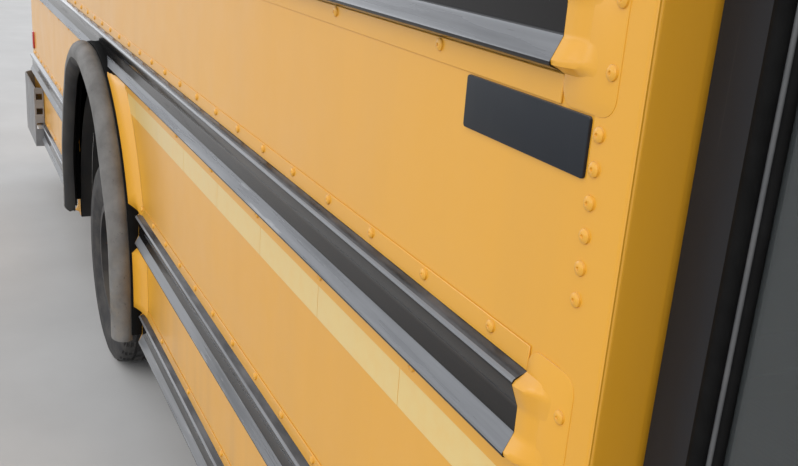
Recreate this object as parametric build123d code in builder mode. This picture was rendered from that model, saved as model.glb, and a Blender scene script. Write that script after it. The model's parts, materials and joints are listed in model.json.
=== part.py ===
from build123d import *
import math
import os

os.makedirs("parts", exist_ok=True)

# Frame: +X forward, +Y to the left side, +Z up, origin on the ground midway between the bumper faces.
# All lengths are millimetres.

# Driving sizes of the whole bus
wheelbase = 4038
front_overhang = 840
rear_body_overhang = 2540
bumper_reach = 60
bumper_wrap = 600
body_width = 2440
skirt_z = 345
eave_z = 2330
roof_rise = 510
wall = 45
floor_z = 770
floor_thick = 60
gap = 0.3
swing_gap = 8

overall_length = front_overhang + wheelbase + rear_body_overhang + bumper_reach
front_x = overall_length / 2
rear_x = front_x - overall_length + bumper_reach
front_axle_x = front_x - front_overhang
rear_axle_x = front_axle_x - wheelbase
half_width = body_width / 2
inner_y = half_width - wall
roof_z = eave_z + roof_rise
sides = ((-1, "right"), (1, "left"))

# Door and bonnet hinges
pin_radius = 3
knuckle_radius = 5
knuckle_half = 25
knuckle_end = 24
knuckle_room = 2
upright = Vector(0, 0, 1)
crosswise = Vector(0, 1, 0)

# Wheels and tyres
tyre_radius = 372
tyre_half_width = 111
disc_offset = 133
hand_hole_radius = 15
hand_hole_ring = 150
spindle_radius = 32
running_clearance = 0.05
front_track = 1762
dual_track = 1976
wheel_z = tyre_radius
front_wheel_y = front_track / 2
outer_dual_y = dual_track / 2 + disc_offset
inner_dual_y = dual_track / 2 - disc_offset
kingpin_offset = 55
kingpin_y = front_wheel_y - kingpin_offset

# Places along the body
jamb_x = rear_axle_x + 2811
door_opening = 740
post_width = 58
body_front_x = jamb_x + door_opening + post_width
left_front_x = rear_axle_x + 3019
door_top_z = 2240
cab_step = 205
cab_half = half_width - cab_step
cab_wall = 30
overhang_z = 2040

# Rear wheel arch and its fender
arch_z = 395
arch_radius = 650
fender_radius = 720
fender_lip_radius = 590
fender_proud = 90

# Rub rails: height of each root's upper edge
rail_tops = (("sill", 1640), ("seat", 1229), ("floor", 768), ("skirt", 459))
rail_height = 105
rail_proud = 21
flange_height = 28
flange_thick = 2
rail_end_taper = 54
rail_end_flat = 26
rail_end_corner = 20
rail_end_length = rail_end_taper + rail_end_flat
rail_gap = 6

# Side windows
window_pitch = 711
window_width = 610
window_low_z = 1695
window_high_z = 2275
window_corner = 60
window_frame = 28
sash_bar = 34
glass_thick = 6
first_window_x = jamb_x - 120 - window_width / 2
window_places = [first_window_x - window_pitch * i for i in range(7)]
window_mid_z = (window_low_z + window_high_z) / 2
window_tall = window_high_z - window_low_z

# Rear wall
rear_corner = 70
rear_door_width = 900
rear_door_low_z = 800
rear_door_high_z = 2290
rear_hinges = [Vector(rear_x, swing_gap - rear_door_width / 2, z) for z in (950, 1530, 2130)]
rear_pane_y = 830
rear_pane_width = 480

# Roof
roof_corner = 330
crown_drop = 150
hatch_x = -300
hatch_size = 600
hatch_half = hatch_size / 2
hatch_low_z = roof_z + 6
hatch_rim = 40


def keep(piece, name):
    piece.part.label = name
    export_step(piece.part, "parts/" + name + ".step")


def block(low, high, mode=Mode.ADD):
    # A box between two corners, in the part being built
    centre = tuple((a + b) / 2 for a, b in zip(low, high))
    size = [b - a for a, b in zip(low, high)]
    with Locations(centre):
        Box(*size, mode=mode)


def hinge_pins(spots, along, low, high):
    # Fixed half of each hinge: two knuckles on a pin, and a leaf from low to high beside the axis
    turn = (90, 0, 0) if along.Y else (0, 0, 0)
    for spot in spots:
        with Locations(spot):
            Cylinder(pin_radius, 2 * (knuckle_half + knuckle_end), rotation=turn)
        for reach in (-1, 1):
            middle = spot + along * reach * (knuckle_half + knuckle_end / 2)
            with Locations(middle):
                Cylinder(knuckle_radius, knuckle_end - 2 * gap, rotation=turn)
            half = along * (knuckle_end / 2 - gap)
            block(middle + low - half, middle + high + half)


def hinge_sleeves(spots, along):
    # Moving half: a sleeve round the pin, and room cut beside it for the fixed knuckles
    turn = (90, 0, 0) if along.Y else (0, 0, 0)
    for spot in spots:
        for reach in (-1, 1):
            with Locations(spot + along * reach * (knuckle_half + (knuckle_end + knuckle_room) / 2)):
                Cylinder(knuckle_radius + knuckle_room, knuckle_end + knuckle_room, rotation=turn, mode=Mode.SUBTRACT)
        with Locations(spot):
            Cylinder(knuckle_radius, 2 * knuckle_half, rotation=turn)
            Cylinder(pin_radius + gap, 2 * (knuckle_half + knuckle_end), rotation=turn, mode=Mode.SUBTRACT)


def ring_wheel(points, x, y, side):
    # Turns a (distance outboard, radius) outline about a wheel's axle
    with BuildSketch(Plane(origin=(x, y, wheel_z), x_dir=(0, side, 0), z_dir=(side, 0, 0))) as outline:
        with BuildLine():
            Polyline(*points, close=True)
        make_face()
    revolve(outline.sketch, axis=Axis((x, y, wheel_z), (0, 1, 0)))


# Roof and walls


def body_section(inset, low_z, x):
    # Body section closed at low_z, with rounded shoulders and a crowned roof
    half = half_width - inset
    top = roof_z - inset
    with BuildSketch(Plane.YZ.offset(x)) as section:
        with BuildLine():
            Polyline(
                (-half, low_z),
                (-half, top - crown_drop),
                (0, top),
                (half, top - crown_drop),
                (half, low_z),
                close=True,
            )
        make_face()
        fillet(section.vertices().filter_by(lambda v: v.Y > low_z + 1 and abs(v.X) > 1), roof_corner - inset)
    return section.sketch


with BuildPart() as roof:
    extrude(body_section(0, eave_z, rear_x), amount=body_front_x - rear_x)
    fillet(roof.faces().sort_by(Axis.X)[0].edges().filter_by(lambda e: e.center().Z > eave_z + 1), 35)
    extrude(body_section(wall, eave_z - 50, rear_x + wall), amount=body_front_x - rear_x, mode=Mode.SUBTRACT)
    block(
        (hatch_x - hatch_half - 30, -hatch_half - 30, roof_z - crown_drop),
        (hatch_x + hatch_half + 30, hatch_half + 30, hatch_low_z - gap),
    )
    block((hatch_x - hatch_half, -hatch_half, eave_z), (hatch_x + hatch_half, hatch_half, roof_z + 30), Mode.SUBTRACT)
keep(roof, "roof")

with BuildPart() as roof_hatch:
    with BuildSketch(Plane.XY.offset(hatch_low_z)):
        with Locations((hatch_x, 0)):
            RectangleRounded(hatch_size + 2 * hatch_rim, hatch_size + 2 * hatch_rim, 50)
    extrude(amount=40)
    fillet(roof_hatch.faces().sort_by(Axis.Z)[-1].edges(), 18)
    with BuildSketch(Plane.XY.offset(hatch_low_z)):
        with Locations((hatch_x, 0)):
            Rectangle(hatch_size, hatch_size)
    extrude(amount=22, mode=Mode.SUBTRACT)
keep(roof_hatch, "roof_hatch")


def side_wall(side, front, opening_x, opening_z):
    # A side skin with its windows and wheel arch, open below opening_z ahead of opening_x
    with BuildPart() as panel:
        with BuildSketch(Plane.XZ.offset(-side * half_width)):
            with BuildLine():
                Polyline(
                    (rear_x + rear_corner, skirt_z),
                    (opening_x, skirt_z),
                    (opening_x, opening_z),
                    (front, opening_z),
                    (front, eave_z),
                    (rear_x + rear_corner, eave_z),
                    close=True,
                )
            make_face()
            with Locations((rear_axle_x, arch_z)):
                Circle(arch_radius, mode=Mode.SUBTRACT)
            with Locations((rear_axle_x, skirt_z)):
                Rectangle(2 * arch_radius, 2 * (arch_z - skirt_z), mode=Mode.SUBTRACT)
            with Locations(*[(x, window_mid_z) for x in window_places]):
                RectangleRounded(window_width, window_tall, window_corner, mode=Mode.SUBTRACT)
        extrude(amount=side * wall)
    return panel


side_wall_right = side_wall(-1, body_front_x, jamb_x, door_top_z)
keep(side_wall_right, "side_wall_right")
side_wall_left = side_wall(1, body_front_x, left_front_x, overhang_z)
keep(side_wall_left, "side_wall_left")

with BuildPart() as rear_wall:
    with BuildSketch(Plane.XY.offset(skirt_z)):
        with Locations((rear_x + rear_corner / 2, 0)):
            Rectangle(rear_corner, body_width)
        with Locations((rear_x + wall + rear_corner / 2, 0)):
            Rectangle(rear_corner, 2 * inner_y, mode=Mode.SUBTRACT)
    extrude(amount=eave_z - skirt_z)
    fillet(rear_wall.edges().filter_by(Axis.Z).group_by(Axis.X)[0], rear_corner - 10)
    with BuildSketch(Plane.YZ.offset(rear_x - 10)):
        with Locations((0, (rear_door_low_z + rear_door_high_z) / 2)):
            Rectangle(rear_door_width, rear_door_high_z - rear_door_low_z)
        with Locations(*[(s * rear_pane_y, window_mid_z) for s, _ in sides]):
            RectangleRounded(rear_pane_width, window_tall, window_corner)
    extrude(amount=wall + 50, mode=Mode.SUBTRACT)
    block((rear_x - 10, -1000, 0), (rear_x + 200, 1000, 690), Mode.SUBTRACT)
    hinge_pins(rear_hinges, upright, Vector(0, -swing_gap - 1, 0), Vector(4, 0, 0))
keep(rear_wall, "rear_wall")

# Front cap over the windscreen, from the body section down to the screen's head
screen_rake_run = 319
screen_base_x = front_axle_x + 60
screen_top_x = screen_base_x - screen_rake_run
screen_top_z = overhang_z
screen_base_z = 1345
cap_front_x = screen_top_x + 60
cap_slope = 170


def cap_form(inset, start_x, low_z):
    # Body section carried forward, cut to the cap's raked side view and rounded plan view
    with BuildPart() as form:
        extrude(body_section(inset, low_z, start_x), amount=cap_front_x - inset - start_x)
        with BuildSketch(Plane.XZ.offset(-half_width)):
            with BuildLine():
                Polyline(
                    (start_x, low_z),
                    (cap_front_x - inset, low_z),
                    (cap_front_x - inset - cap_slope * 0.3, low_z + 330),
                    (cap_front_x - inset - cap_slope, roof_z - inset - 60),
                    (start_x, roof_z - inset),
                    close=True,
                )
            make_face()
        extrude(amount=body_width, mode=Mode.INTERSECT)
        with BuildSketch(Plane.XY.offset(low_z)):
            with BuildLine():
                Polyline(
                    (start_x, -half_width + inset),
                    (cap_front_x - inset - 130, -half_width + inset),
                    (cap_front_x - inset, -half_width + inset + 230),
                    (cap_front_x - inset, half_width - inset - 230),
                    (cap_front_x - inset - 130, half_width - inset),
                    (start_x, half_width - inset),
                    close=True,
                )
            make_face()
        extrude(amount=roof_z, mode=Mode.INTERSECT)
    return form.part


with BuildPart() as front_cap:
    add(cap_form(0, body_front_x, overhang_z))
    add(cap_form(wall, body_front_x, overhang_z - 10), mode=Mode.SUBTRACT)
    block((body_front_x, -inner_y, overhang_z), (screen_top_x - 40, inner_y, overhang_z + 20), Mode.SUBTRACT)
keep(front_cap, "front_cap")

# Panels that join the wide body to the narrow cab
leaf_proud = 60
leaf_face_y = -half_width + leaf_proud
entry_hinge_x = {"rear": jamb_x + swing_gap, "front": jamb_x + door_opening - swing_gap}
entry_hinges = {word: [Vector(x, leaf_face_y, z) for z in (560, 1050, 1900)] for word, x in entry_hinge_x.items()}
vision_low_z = 1400
vision_high_z = 1980
vision_in_y = cab_half + 25
vision_out_y = inner_y - 25
with BuildPart() as transition_panels:
    block((body_front_x - post_width, -half_width, skirt_z), (body_front_x, -inner_y, door_top_z))
    block((body_front_x - post_width, -inner_y, skirt_z), (body_front_x, -cab_half - gap, eave_z))
    block(
        (body_front_x - post_width - 5, -vision_out_y, vision_low_z),
        (body_front_x + 5, -vision_in_y, vision_high_z),
        Mode.SUBTRACT,
    )
    block((jamb_x - 20, -inner_y, skirt_z), (jamb_x, -half_width + leaf_proud + 60, door_top_z))
    block((jamb_x - 20, -inner_y, door_top_z), (body_front_x - post_width, -inner_y + 30, door_top_z + 60))
    hinge_pins(entry_hinges["rear"], upright, Vector(-swing_gap - 1, 0, 0), Vector(0, 4, 0))
    hinge_pins(entry_hinges["front"], upright, Vector(0, 0, 0), Vector(swing_gap + 1, 4, 0))
    block((left_front_x - wall, cab_half - 60, skirt_z), (left_front_x, inner_y, overhang_z))
    block((left_front_x - wall, cab_half - 60, overhang_z), (body_front_x, inner_y, overhang_z + 25))
keep(transition_panels, "transition_panels")

# Rub rails, and the yellow pressings they sit in: flanges above and below, and tapered ends
rail_section = ((0, 0), (19, -11), (8, -40), (8, -70), (rail_proud, -95), (0, -rail_height))


def rail_outline(x, side, top_z, most):
    # Rail section at x, standing off the wall by no more than the given reach
    with BuildSketch(Plane.YZ.offset(x)) as outline:
        with BuildLine():
            Polyline(*[(side * (half_width + min(out, most)), top_z + rise) for out, rise in rail_section], close=True)
        make_face()
    return outline.sketch


rail_runs = []
for side, _ in sides:
    front_end_x = (jamb_x if side < 0 else left_front_x) - rail_end_length - 34
    for rail_name, top_z in rail_tops:
        low_z = max(top_z - rail_height - flange_height, skirt_z)
        runs = [(rear_x + rear_corner, front_end_x, False, True)]
        if top_z - rail_height < arch_z + fender_radius:
            rise = max(0, low_z - arch_z)
            fender_half = math.sqrt((fender_radius + rail_gap) ** 2 - rise**2) + rail_end_length
            rail_rear_x = rear_x + rear_corner if rail_name != "skirt" else rear_x - bumper_reach + bumper_wrap + rail_gap
            runs = [
                (rail_rear_x, rear_axle_x - fender_half, False, True),
                (rear_axle_x + fender_half, front_end_x, True, True),
            ]
        rail_runs += [(side, top_z, low_z) + run for run in runs]

with BuildPart() as rub_rails:
    for side, top_z, low_z, start_x, end_x, rear_end, front_end in rail_runs:
        extrude(rail_outline(start_x, side, top_z, rail_proud), amount=end_x - start_x)
keep(rub_rails, "rub_rails")

with BuildPart() as rail_pressings:
    for side, top_z, low_z, start_x, end_x, rear_end, front_end in rail_runs:
        plate_rear_x = start_x - rail_end_length * rear_end
        plate_front_x = end_x + rail_end_length * front_end
        high_z = top_z + flange_height
        with BuildSketch(Plane.XZ.offset(-side * half_width)) as plate:
            with Locations(((plate_rear_x + plate_front_x) / 2, (high_z + low_z) / 2)):
                Rectangle(plate_front_x - plate_rear_x, high_z - low_z)
            fillet(plate.vertices().group_by(Axis.X)[-1], rail_end_corner)
            if rear_end:
                fillet(plate.vertices().group_by(Axis.X)[0], rail_end_corner)
            with Locations(((start_x + end_x) / 2, top_z - rail_height / 2)):
                Rectangle(end_x - start_x, rail_height, mode=Mode.SUBTRACT)
            with Locations((rear_axle_x, arch_z)):
                Circle(fender_radius + gap, mode=Mode.SUBTRACT)
        extrude(amount=-side * flange_thick)
        if rear_end:
            loft([rail_outline(start_x, side, top_z, rail_proud), rail_outline(start_x - rail_end_taper, side, top_z, 1)])
        loft([rail_outline(end_x, side, top_z, rail_proud), rail_outline(end_x + rail_end_taper, side, top_z, 1)])
keep(rail_pressings, "rail_pressings")

# Drip rails over the side windows
drip_proud = 16
drip_height = 14
with BuildPart() as drip_rails:
    for side, _ in sides:
        low_y, high_y = sorted((side * half_width, side * (half_width + drip_proud)))
        block((rear_x + rear_corner, low_y, eave_z - drip_height), (body_front_x, high_y, eave_z))
keep(drip_rails, "drip_rails")

# Window frames and panes
pane_tall = (window_tall - sash_bar) / 2 - window_frame - 2 * gap
pane_mid = (pane_tall + sash_bar) / 2 + gap

with BuildPart() as window_frames:
    for side, _ in sides:
        with BuildSketch(Plane.XZ.offset(-side * (half_width + 4))):
            with Locations(*[(x, window_mid_z) for x in window_places]):
                RectangleRounded(window_width - 2 * gap, window_tall - 2 * gap, window_corner)
                RectangleRounded(
                    window_width - 2 * window_frame, window_tall - 2 * window_frame, window_corner / 2, mode=Mode.SUBTRACT
                )
            with Locations(*[(x, window_mid_z) for x in window_places]):
                Rectangle(window_width - 2 * window_frame + 4, sash_bar)
        extrude(amount=side * (wall + 4))
keep(window_frames, "window_frames")

# Floor, wheelhouses and entry steps
wheelhouse_in_y = inner_dual_y - tyre_half_width - 45
well_x = jamb_x + 10
with BuildPart() as floor:
    block((rear_x + wall, -inner_y, floor_z - floor_thick), (body_front_x - wall - 1, inner_y, floor_z))
    block((jamb_x - 25, -inner_y - 1, floor_z - 200), (body_front_x, -inner_y + 700, floor_z + 10), Mode.SUBTRACT)
    for side, _ in sides:
        low_y, high_y = sorted((side * wheelhouse_in_y, side * (inner_y + 5)))
        block((rear_axle_x - arch_radius, low_y, floor_z - 200), (rear_axle_x + arch_radius, high_y, floor_z + 10), Mode.SUBTRACT)
    block((left_front_x - wall - 1, cab_half - 60, floor_z - 200), (body_front_x, inner_y + 5, floor_z + 10), Mode.SUBTRACT)
with BuildPart() as rear_wheelhouses:
    for side, _ in sides:
        with BuildSketch(Plane.XZ.offset(-side * (inner_y - gap))):
            with Locations((rear_axle_x, arch_z)):
                Circle(arch_radius - gap)
            with Locations((rear_axle_x, arch_z - arch_radius)):
                Rectangle(2 * arch_radius, 2 * arch_radius, mode=Mode.SUBTRACT)
        extrude(amount=side * (inner_y - wheelhouse_in_y - gap))
        with BuildSketch(Plane.XZ.offset(-side * (inner_y + 1))):
            with Locations((rear_axle_x, arch_z)):
                Circle(arch_radius - 8)
            with Locations((rear_axle_x, arch_z - arch_radius)):
                Rectangle(2 * arch_radius, 2 * arch_radius, mode=Mode.SUBTRACT)
        extrude(amount=side * (inner_y - wheelhouse_in_y - 8), mode=Mode.SUBTRACT)
        block(
            (rear_axle_x - arch_radius, -inner_y if side < 0 else 0, arch_z - 1),
            (rear_axle_x + arch_radius, 0 if side < 0 else inner_y, arch_z + 20),
            Mode.SUBTRACT,
        )
        with Locations((rear_axle_x, side * wheelhouse_in_y, wheel_z)):
            Cylinder(120, 40, rotation=(90, 0, 0), mode=Mode.SUBTRACT)
keep(rear_wheelhouses, "rear_wheelhouses")

# Rear fenders: a tube-like arch swept round the opening
with BuildPart() as rear_fenders:
    for side, _ in sides:
        mid_radius = (fender_radius + fender_lip_radius) / 2
        with BuildSketch(Plane(origin=(rear_axle_x, side * half_width, arch_z), x_dir=(1, 0, 0), z_dir=(0, 0, 1))) as outline:
            with BuildLine():
                Polyline(
                    (fender_radius, 0),
                    (fender_radius - 20, side * fender_proud * 0.6),
                    (mid_radius + 10, side * fender_proud),
                    (fender_lip_radius + 10, side * fender_proud * 0.75),
                    (fender_lip_radius, side * fender_proud * 0.3),
                    (fender_lip_radius + 12, side * fender_proud * 0.3),
                    (fender_lip_radius + 25, side * fender_proud * 0.65),
                    (mid_radius + 10, side * (fender_proud - 12)),
                    (fender_radius - 30, side * fender_proud * 0.5),
                    (fender_radius - 30, 0),
                    close=True,
                )
            make_face()
        revolve(outline.sketch, axis=Axis((rear_axle_x, side * half_width, arch_z), (0, -1, 0)), revolution_arc=180)
keep(rear_fenders, "rear_fenders")

# Cab: a hollow nose with wheel arches, bonnet opening and grille opening
nose_x = front_x - 110
nose_low_z = 676
bonnet_rear_x = screen_base_x + 60
bonnet_front_x = nose_x - 75
bonnet_half = 760
bonnet_gap = 5
bonnet_hinges = [Vector(bonnet_rear_x + bonnet_gap, y, screen_base_z) for y in (-600, 600)]
front_arch_radius = 450
grille_half = 860
grille_low_z = 715
grille_high_z = 1045
cab_start_x = body_front_x + swing_gap


def cab_form(inset, low_z):
    # The nose's side view carried across the cab, with rounded corners in plan
    with BuildPart() as form:
        with BuildSketch(Plane.XZ.offset(-cab_half + inset)):
            with BuildLine():
                Polyline(
                    (cab_start_x - inset, low_z),
                    (cab_start_x - inset, screen_base_z - inset),
                    (bonnet_rear_x, screen_base_z - inset),
                    (nose_x - 95 - inset / 2, 1175 - inset),
                    (nose_x - inset, 1085 - inset / 2),
                    (nose_x - inset, nose_low_z if not inset else low_z),
                    (front_axle_x + 430, low_z),
                    close=True,
                )
            make_face()
        extrude(amount=2 * (cab_half - inset))
        fillet(form.edges().filter_by(Axis.Z).group_by(Axis.X)[-1], 170 - inset)
    return form.part


# Raked screen pillars and the cab's right quarter window
rake = Vector(screen_top_x - screen_base_x, 0, screen_top_z - screen_base_z)
pillar_width = 85
screen_half = cab_half - pillar_width - gap
screen_bow = 60


def pillar_rear_at(z):
    # Rear face of the raked screen pillar at a height
    return screen_base_x - 120 + (z - screen_base_z) * rake.X / rake.Z


cab_hinge_z = screen_base_z + 45
door_front_x = pillar_rear_at(cab_hinge_z)
door_hinge_x = door_front_x - swing_gap
door_hinges = [Vector(door_hinge_x, cab_half, z) for z in (930, 1250)]
pillar_rear_base = screen_base_x - 120 - gap
pillar_rear_top = screen_top_x - 120 - gap
quarter_start = body_front_x + gap
pillar_deep = 80
quarter_rim = 45


def quarter_outline(rim):
    # Outline of the right quarter window, rim inside the opening between body and pillar
    with BuildSketch() as outline:
        with BuildLine():
            Polyline(
                (quarter_start, screen_base_z),
                (pillar_rear_base, screen_base_z),
                (pillar_rear_top, screen_top_z),
                (quarter_start, screen_top_z),
                close=True,
            )
        make_face()
        if rim:
            offset(amount=-rim, kind=Kind.INTERSECTION, mode=Mode.REPLACE)
    return outline.sketch


with BuildPart() as cab_shell:
    add(cab_form(0, 470))
    fillet(cab_shell.edges().filter_by(Axis.X).group_by(Axis.Z)[-1], 22)
    add(cab_form(cab_wall, 460), mode=Mode.SUBTRACT)
    block((cab_start_x - 5, -cab_half + cab_wall, 1200), (screen_base_x - 90, cab_half - cab_wall, 1400), Mode.SUBTRACT)
    block((bonnet_rear_x, -bonnet_half, 1050), (bonnet_front_x, bonnet_half, 1400), Mode.SUBTRACT)
    block((cab_start_x - 5, cab_half - 90, 400), (door_front_x, cab_half + 5, 1400), Mode.SUBTRACT)
    block((nose_x - 150, -grille_half + 40, grille_low_z), (nose_x + 5, grille_half - 40, grille_high_z), Mode.SUBTRACT)
    with BuildSketch(Plane.XZ.offset(-cab_half - 5)):
        with Locations((front_axle_x, wheel_z)):
            Circle(front_arch_radius)
    extrude(amount=2 * cab_half + 10, mode=Mode.SUBTRACT)
    with BuildSketch(Plane.XY.offset(screen_base_z)):
        with Locations(*[(screen_base_x - pillar_deep, side * (cab_half - pillar_width / 2)) for side, _ in sides]):
            Rectangle(pillar_deep, pillar_width)
    extrude(amount=rake.length, dir=rake.normalized())
    with BuildSketch(Plane.XZ.offset(cab_half - cab_wall)):
        add(quarter_outline(0))
        add(quarter_outline(quarter_rim), mode=Mode.SUBTRACT)
    extrude(amount=cab_wall)
    hinge_pins(door_hinges, upright, Vector(0, -4, 0), Vector(swing_gap + 1, 0, 0))
    hinge_pins(bonnet_hinges, crosswise, Vector(-bonnet_gap - 1, 0, -4), Vector(0, 0, 0))
keep(cab_shell, "cab_shell")

with BuildPart() as bonnet:
    with BuildSketch(Plane.XZ.offset(-bonnet_half + 4)):
        with BuildLine():
            Polyline(
                (bonnet_rear_x + bonnet_gap, screen_base_z),
                (bonnet_front_x - bonnet_gap, 1193),
                (bonnet_front_x - bonnet_gap, 1168),
                (bonnet_rear_x + bonnet_gap, screen_base_z - 25),
                close=True,
            )
        make_face()
    extrude(amount=2 * bonnet_half - 8)
    fillet(bonnet.faces().sort_by(Axis.Z)[-1].edges().filter_by(Axis.Y, reverse=True), 10)
    hinge_sleeves(bonnet_hinges, crosswise)
keep(bonnet, "bonnet")

lamp_places = [side * 640 for side, _ in sides]
lamp_half = 130
with BuildPart() as grille:
    with BuildSketch(Plane.YZ.offset(nose_x - 60)):
        with Locations((0, (grille_low_z + grille_high_z) / 2)):
            Rectangle(2 * grille_half - 80 - 2 * gap, grille_high_z - grille_low_z - 2 * gap)
            Rectangle(880, grille_high_z - grille_low_z - 60, mode=Mode.SUBTRACT)
        with Locations(*[(y, (grille_low_z + grille_high_z) / 2 + 40) for y in lamp_places]):
            Rectangle(2 * lamp_half, 180, mode=Mode.SUBTRACT)
        with Locations(*[(0, grille_low_z + 30 + 39 * i) for i in range(1, 7)]):
            Rectangle(884, 12)
        with Locations(*[(y, (grille_low_z + grille_high_z) / 2) for y in (-220, 0, 220)]):
            Rectangle(16, grille_high_z - grille_low_z - 56)
    extrude(amount=40)
keep(grille, "grille")

with BuildPart() as headlamps:
    for y in lamp_places:
        with BuildSketch(Plane.YZ.offset(nose_x - 80)):
            with Locations((y, (grille_low_z + grille_high_z) / 2 + 40)):
                RectangleRounded(2 * lamp_half - 2 * gap, 180 - 2 * gap, 20)
        extrude(amount=70)
keep(headlamps, "headlamps")

# Driver's door
door_rear_x = left_front_x + swing_gap
door_low_z = 480
door_top = overhang_z - swing_gap
door_thick = 45
belt_z = screen_base_z + 15
with BuildPart() as driver_door:
    with BuildSketch(Plane.XZ.offset(-cab_half)):
        with BuildLine():
            Polyline(
                (door_rear_x, door_low_z),
                (door_hinge_x, door_low_z),
                (door_hinge_x, cab_hinge_z),
                (pillar_rear_at(door_top) - swing_gap, door_top),
                (door_rear_x, door_top),
                close=True,
            )
        make_face()
        with Locations((front_axle_x, wheel_z)):
            Circle(front_arch_radius + 20, mode=Mode.SUBTRACT)
        with BuildLine():
            Polyline(
                (door_rear_x + 70, belt_z + 30),
                (pillar_rear_base - 90, belt_z + 30),
                (pillar_rear_top - 65, door_top - 60),
                (door_rear_x + 70, door_top - 60),
                close=True,
            )
        make_face(mode=Mode.SUBTRACT)
    extrude(amount=door_thick)
    hinge_sleeves(door_hinges, upright)
keep(driver_door, "driver_door")

with BuildPart() as driver_door_glass:
    with BuildSketch(Plane.XZ.offset(-cab_half + 18)):
        with BuildLine():
            Polyline(
                (door_rear_x + 70 + gap, belt_z + 30 + gap),
                (pillar_rear_base - 90 - gap, belt_z + 30 + gap),
                (pillar_rear_top - 65 - gap, door_top - 60 - gap),
                (door_rear_x + 70 + gap, door_top - 60 - gap),
                close=True,
            )
        make_face()
    extrude(amount=glass_thick)
keep(driver_door_glass, "driver_door_glass")

# Fixed glass: side, rear, quarter and vision panes and the curved windscreen
with BuildPart() as body_glass:
    for side, _ in sides:
        with BuildSketch(Plane.XZ.offset(-side * (half_width - 18))):
            with Locations(*[(x, window_mid_z + s * pane_mid) for x in window_places for s in (-1, 1)]):
                RectangleRounded(window_width - 2 * window_frame - 2 * gap, pane_tall, window_corner / 2)
        extrude(amount=side * glass_thick)
    with BuildSketch(Plane.YZ.offset(rear_x + 15)):
        with Locations(*[(s * rear_pane_y, window_mid_z) for s, _ in sides]):
            RectangleRounded(rear_pane_width - 2 * gap, window_tall - 2 * gap, window_corner)
    extrude(amount=glass_thick)
    with BuildSketch(Plane.XZ.offset(cab_half - 20)):
        add(quarter_outline(quarter_rim + gap))
    extrude(amount=glass_thick)
    block(
        (body_front_x - 20, -vision_out_y + gap, vision_low_z + gap),
        (body_front_x - 20 + glass_thick, -vision_in_y - gap, vision_high_z - gap),
    )
    with BuildSketch(Plane.XY.offset(screen_base_z)):
        with BuildLine():
            for back in (0, glass_thick):
                ThreePointArc(
                    (screen_base_x - screen_bow - back, -screen_half),
                    (screen_base_x - back, 0),
                    (screen_base_x - screen_bow - back, screen_half),
                )
            for end in (-screen_half, screen_half):
                Line((screen_base_x - screen_bow, end), (screen_base_x - screen_bow - glass_thick, end))
        make_face()
    extrude(amount=rake.length, dir=rake.normalized())
keep(body_glass, "body_glass")

# Entry door leaves
leaf_meeting = 14
leaf_width = (door_opening - 2 * swing_gap - leaf_meeting) / 2
leaf_low_z = 395
leaf_high_z = door_top_z - swing_gap
leaf_thick = 35
leaf_rim = 55
leaf_bar_z = 1050
leaf_centres = (("rear", jamb_x + swing_gap + leaf_width / 2), ("front", jamb_x + door_opening - swing_gap - leaf_width / 2))
lights = ((leaf_low_z + 180, leaf_bar_z - 40), (leaf_bar_z + 40, leaf_high_z - 70))
for word, x in leaf_centres:
    with BuildPart() as leaf:
        with BuildSketch(Plane.XZ.offset(half_width - leaf_proud)):
            with Locations((x, (leaf_low_z + leaf_high_z) / 2)):
                Rectangle(leaf_width, leaf_high_z - leaf_low_z)
            for low, high in lights:
                with Locations((x, (low + high) / 2)):
                    RectangleRounded(leaf_width - 2 * leaf_rim, high - low, 35, mode=Mode.SUBTRACT)
        extrude(amount=-leaf_thick)
        hinge_sleeves(entry_hinges[word], upright)
    keep(leaf, "entry_leaf_" + word)
    with BuildPart() as light:
        with BuildSketch(Plane.XZ.offset(half_width - leaf_proud - 15)):
            for low, high in lights:
                with Locations((x, (low + high) / 2)):
                    RectangleRounded(leaf_width - 2 * leaf_rim - 2 * gap, high - low - 2 * gap, 35)
        extrude(amount=-glass_thick)
    keep(light, "entry_glass_" + word)

# Entry steps
tread_one_z = 380
tread_two_z = 575
step_out_y = -inner_y + 76
well_in_y = -inner_y + 700
step_start_x = jamb_x - 24
step_end_x = body_front_x - post_width - gap
with BuildPart() as entry_steps:
    block((step_start_x, step_out_y, tread_one_z - 20), (step_end_x, step_out_y + 300, tread_one_z))
    block((step_start_x, step_out_y + 290, tread_one_z - 20), (step_end_x, step_out_y + 300, tread_two_z))
    block((step_start_x, step_out_y + 290, tread_two_z - 20), (step_end_x, well_in_y - gap, tread_two_z))
    block((step_start_x, well_in_y - 10 - gap, tread_two_z - 20), (step_end_x, well_in_y - gap, floor_z))
    block((step_start_x, step_out_y, tread_one_z - 20), (step_start_x + 10, well_in_y - gap, floor_z))
    block((step_end_x - 10, step_out_y, tread_one_z - 20), (step_end_x, well_in_y - gap, floor_z))
with BuildPart() as floor_and_steps:
    add(floor.part)
    add(entry_steps.part)
keep(floor_and_steps, "floor")

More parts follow.
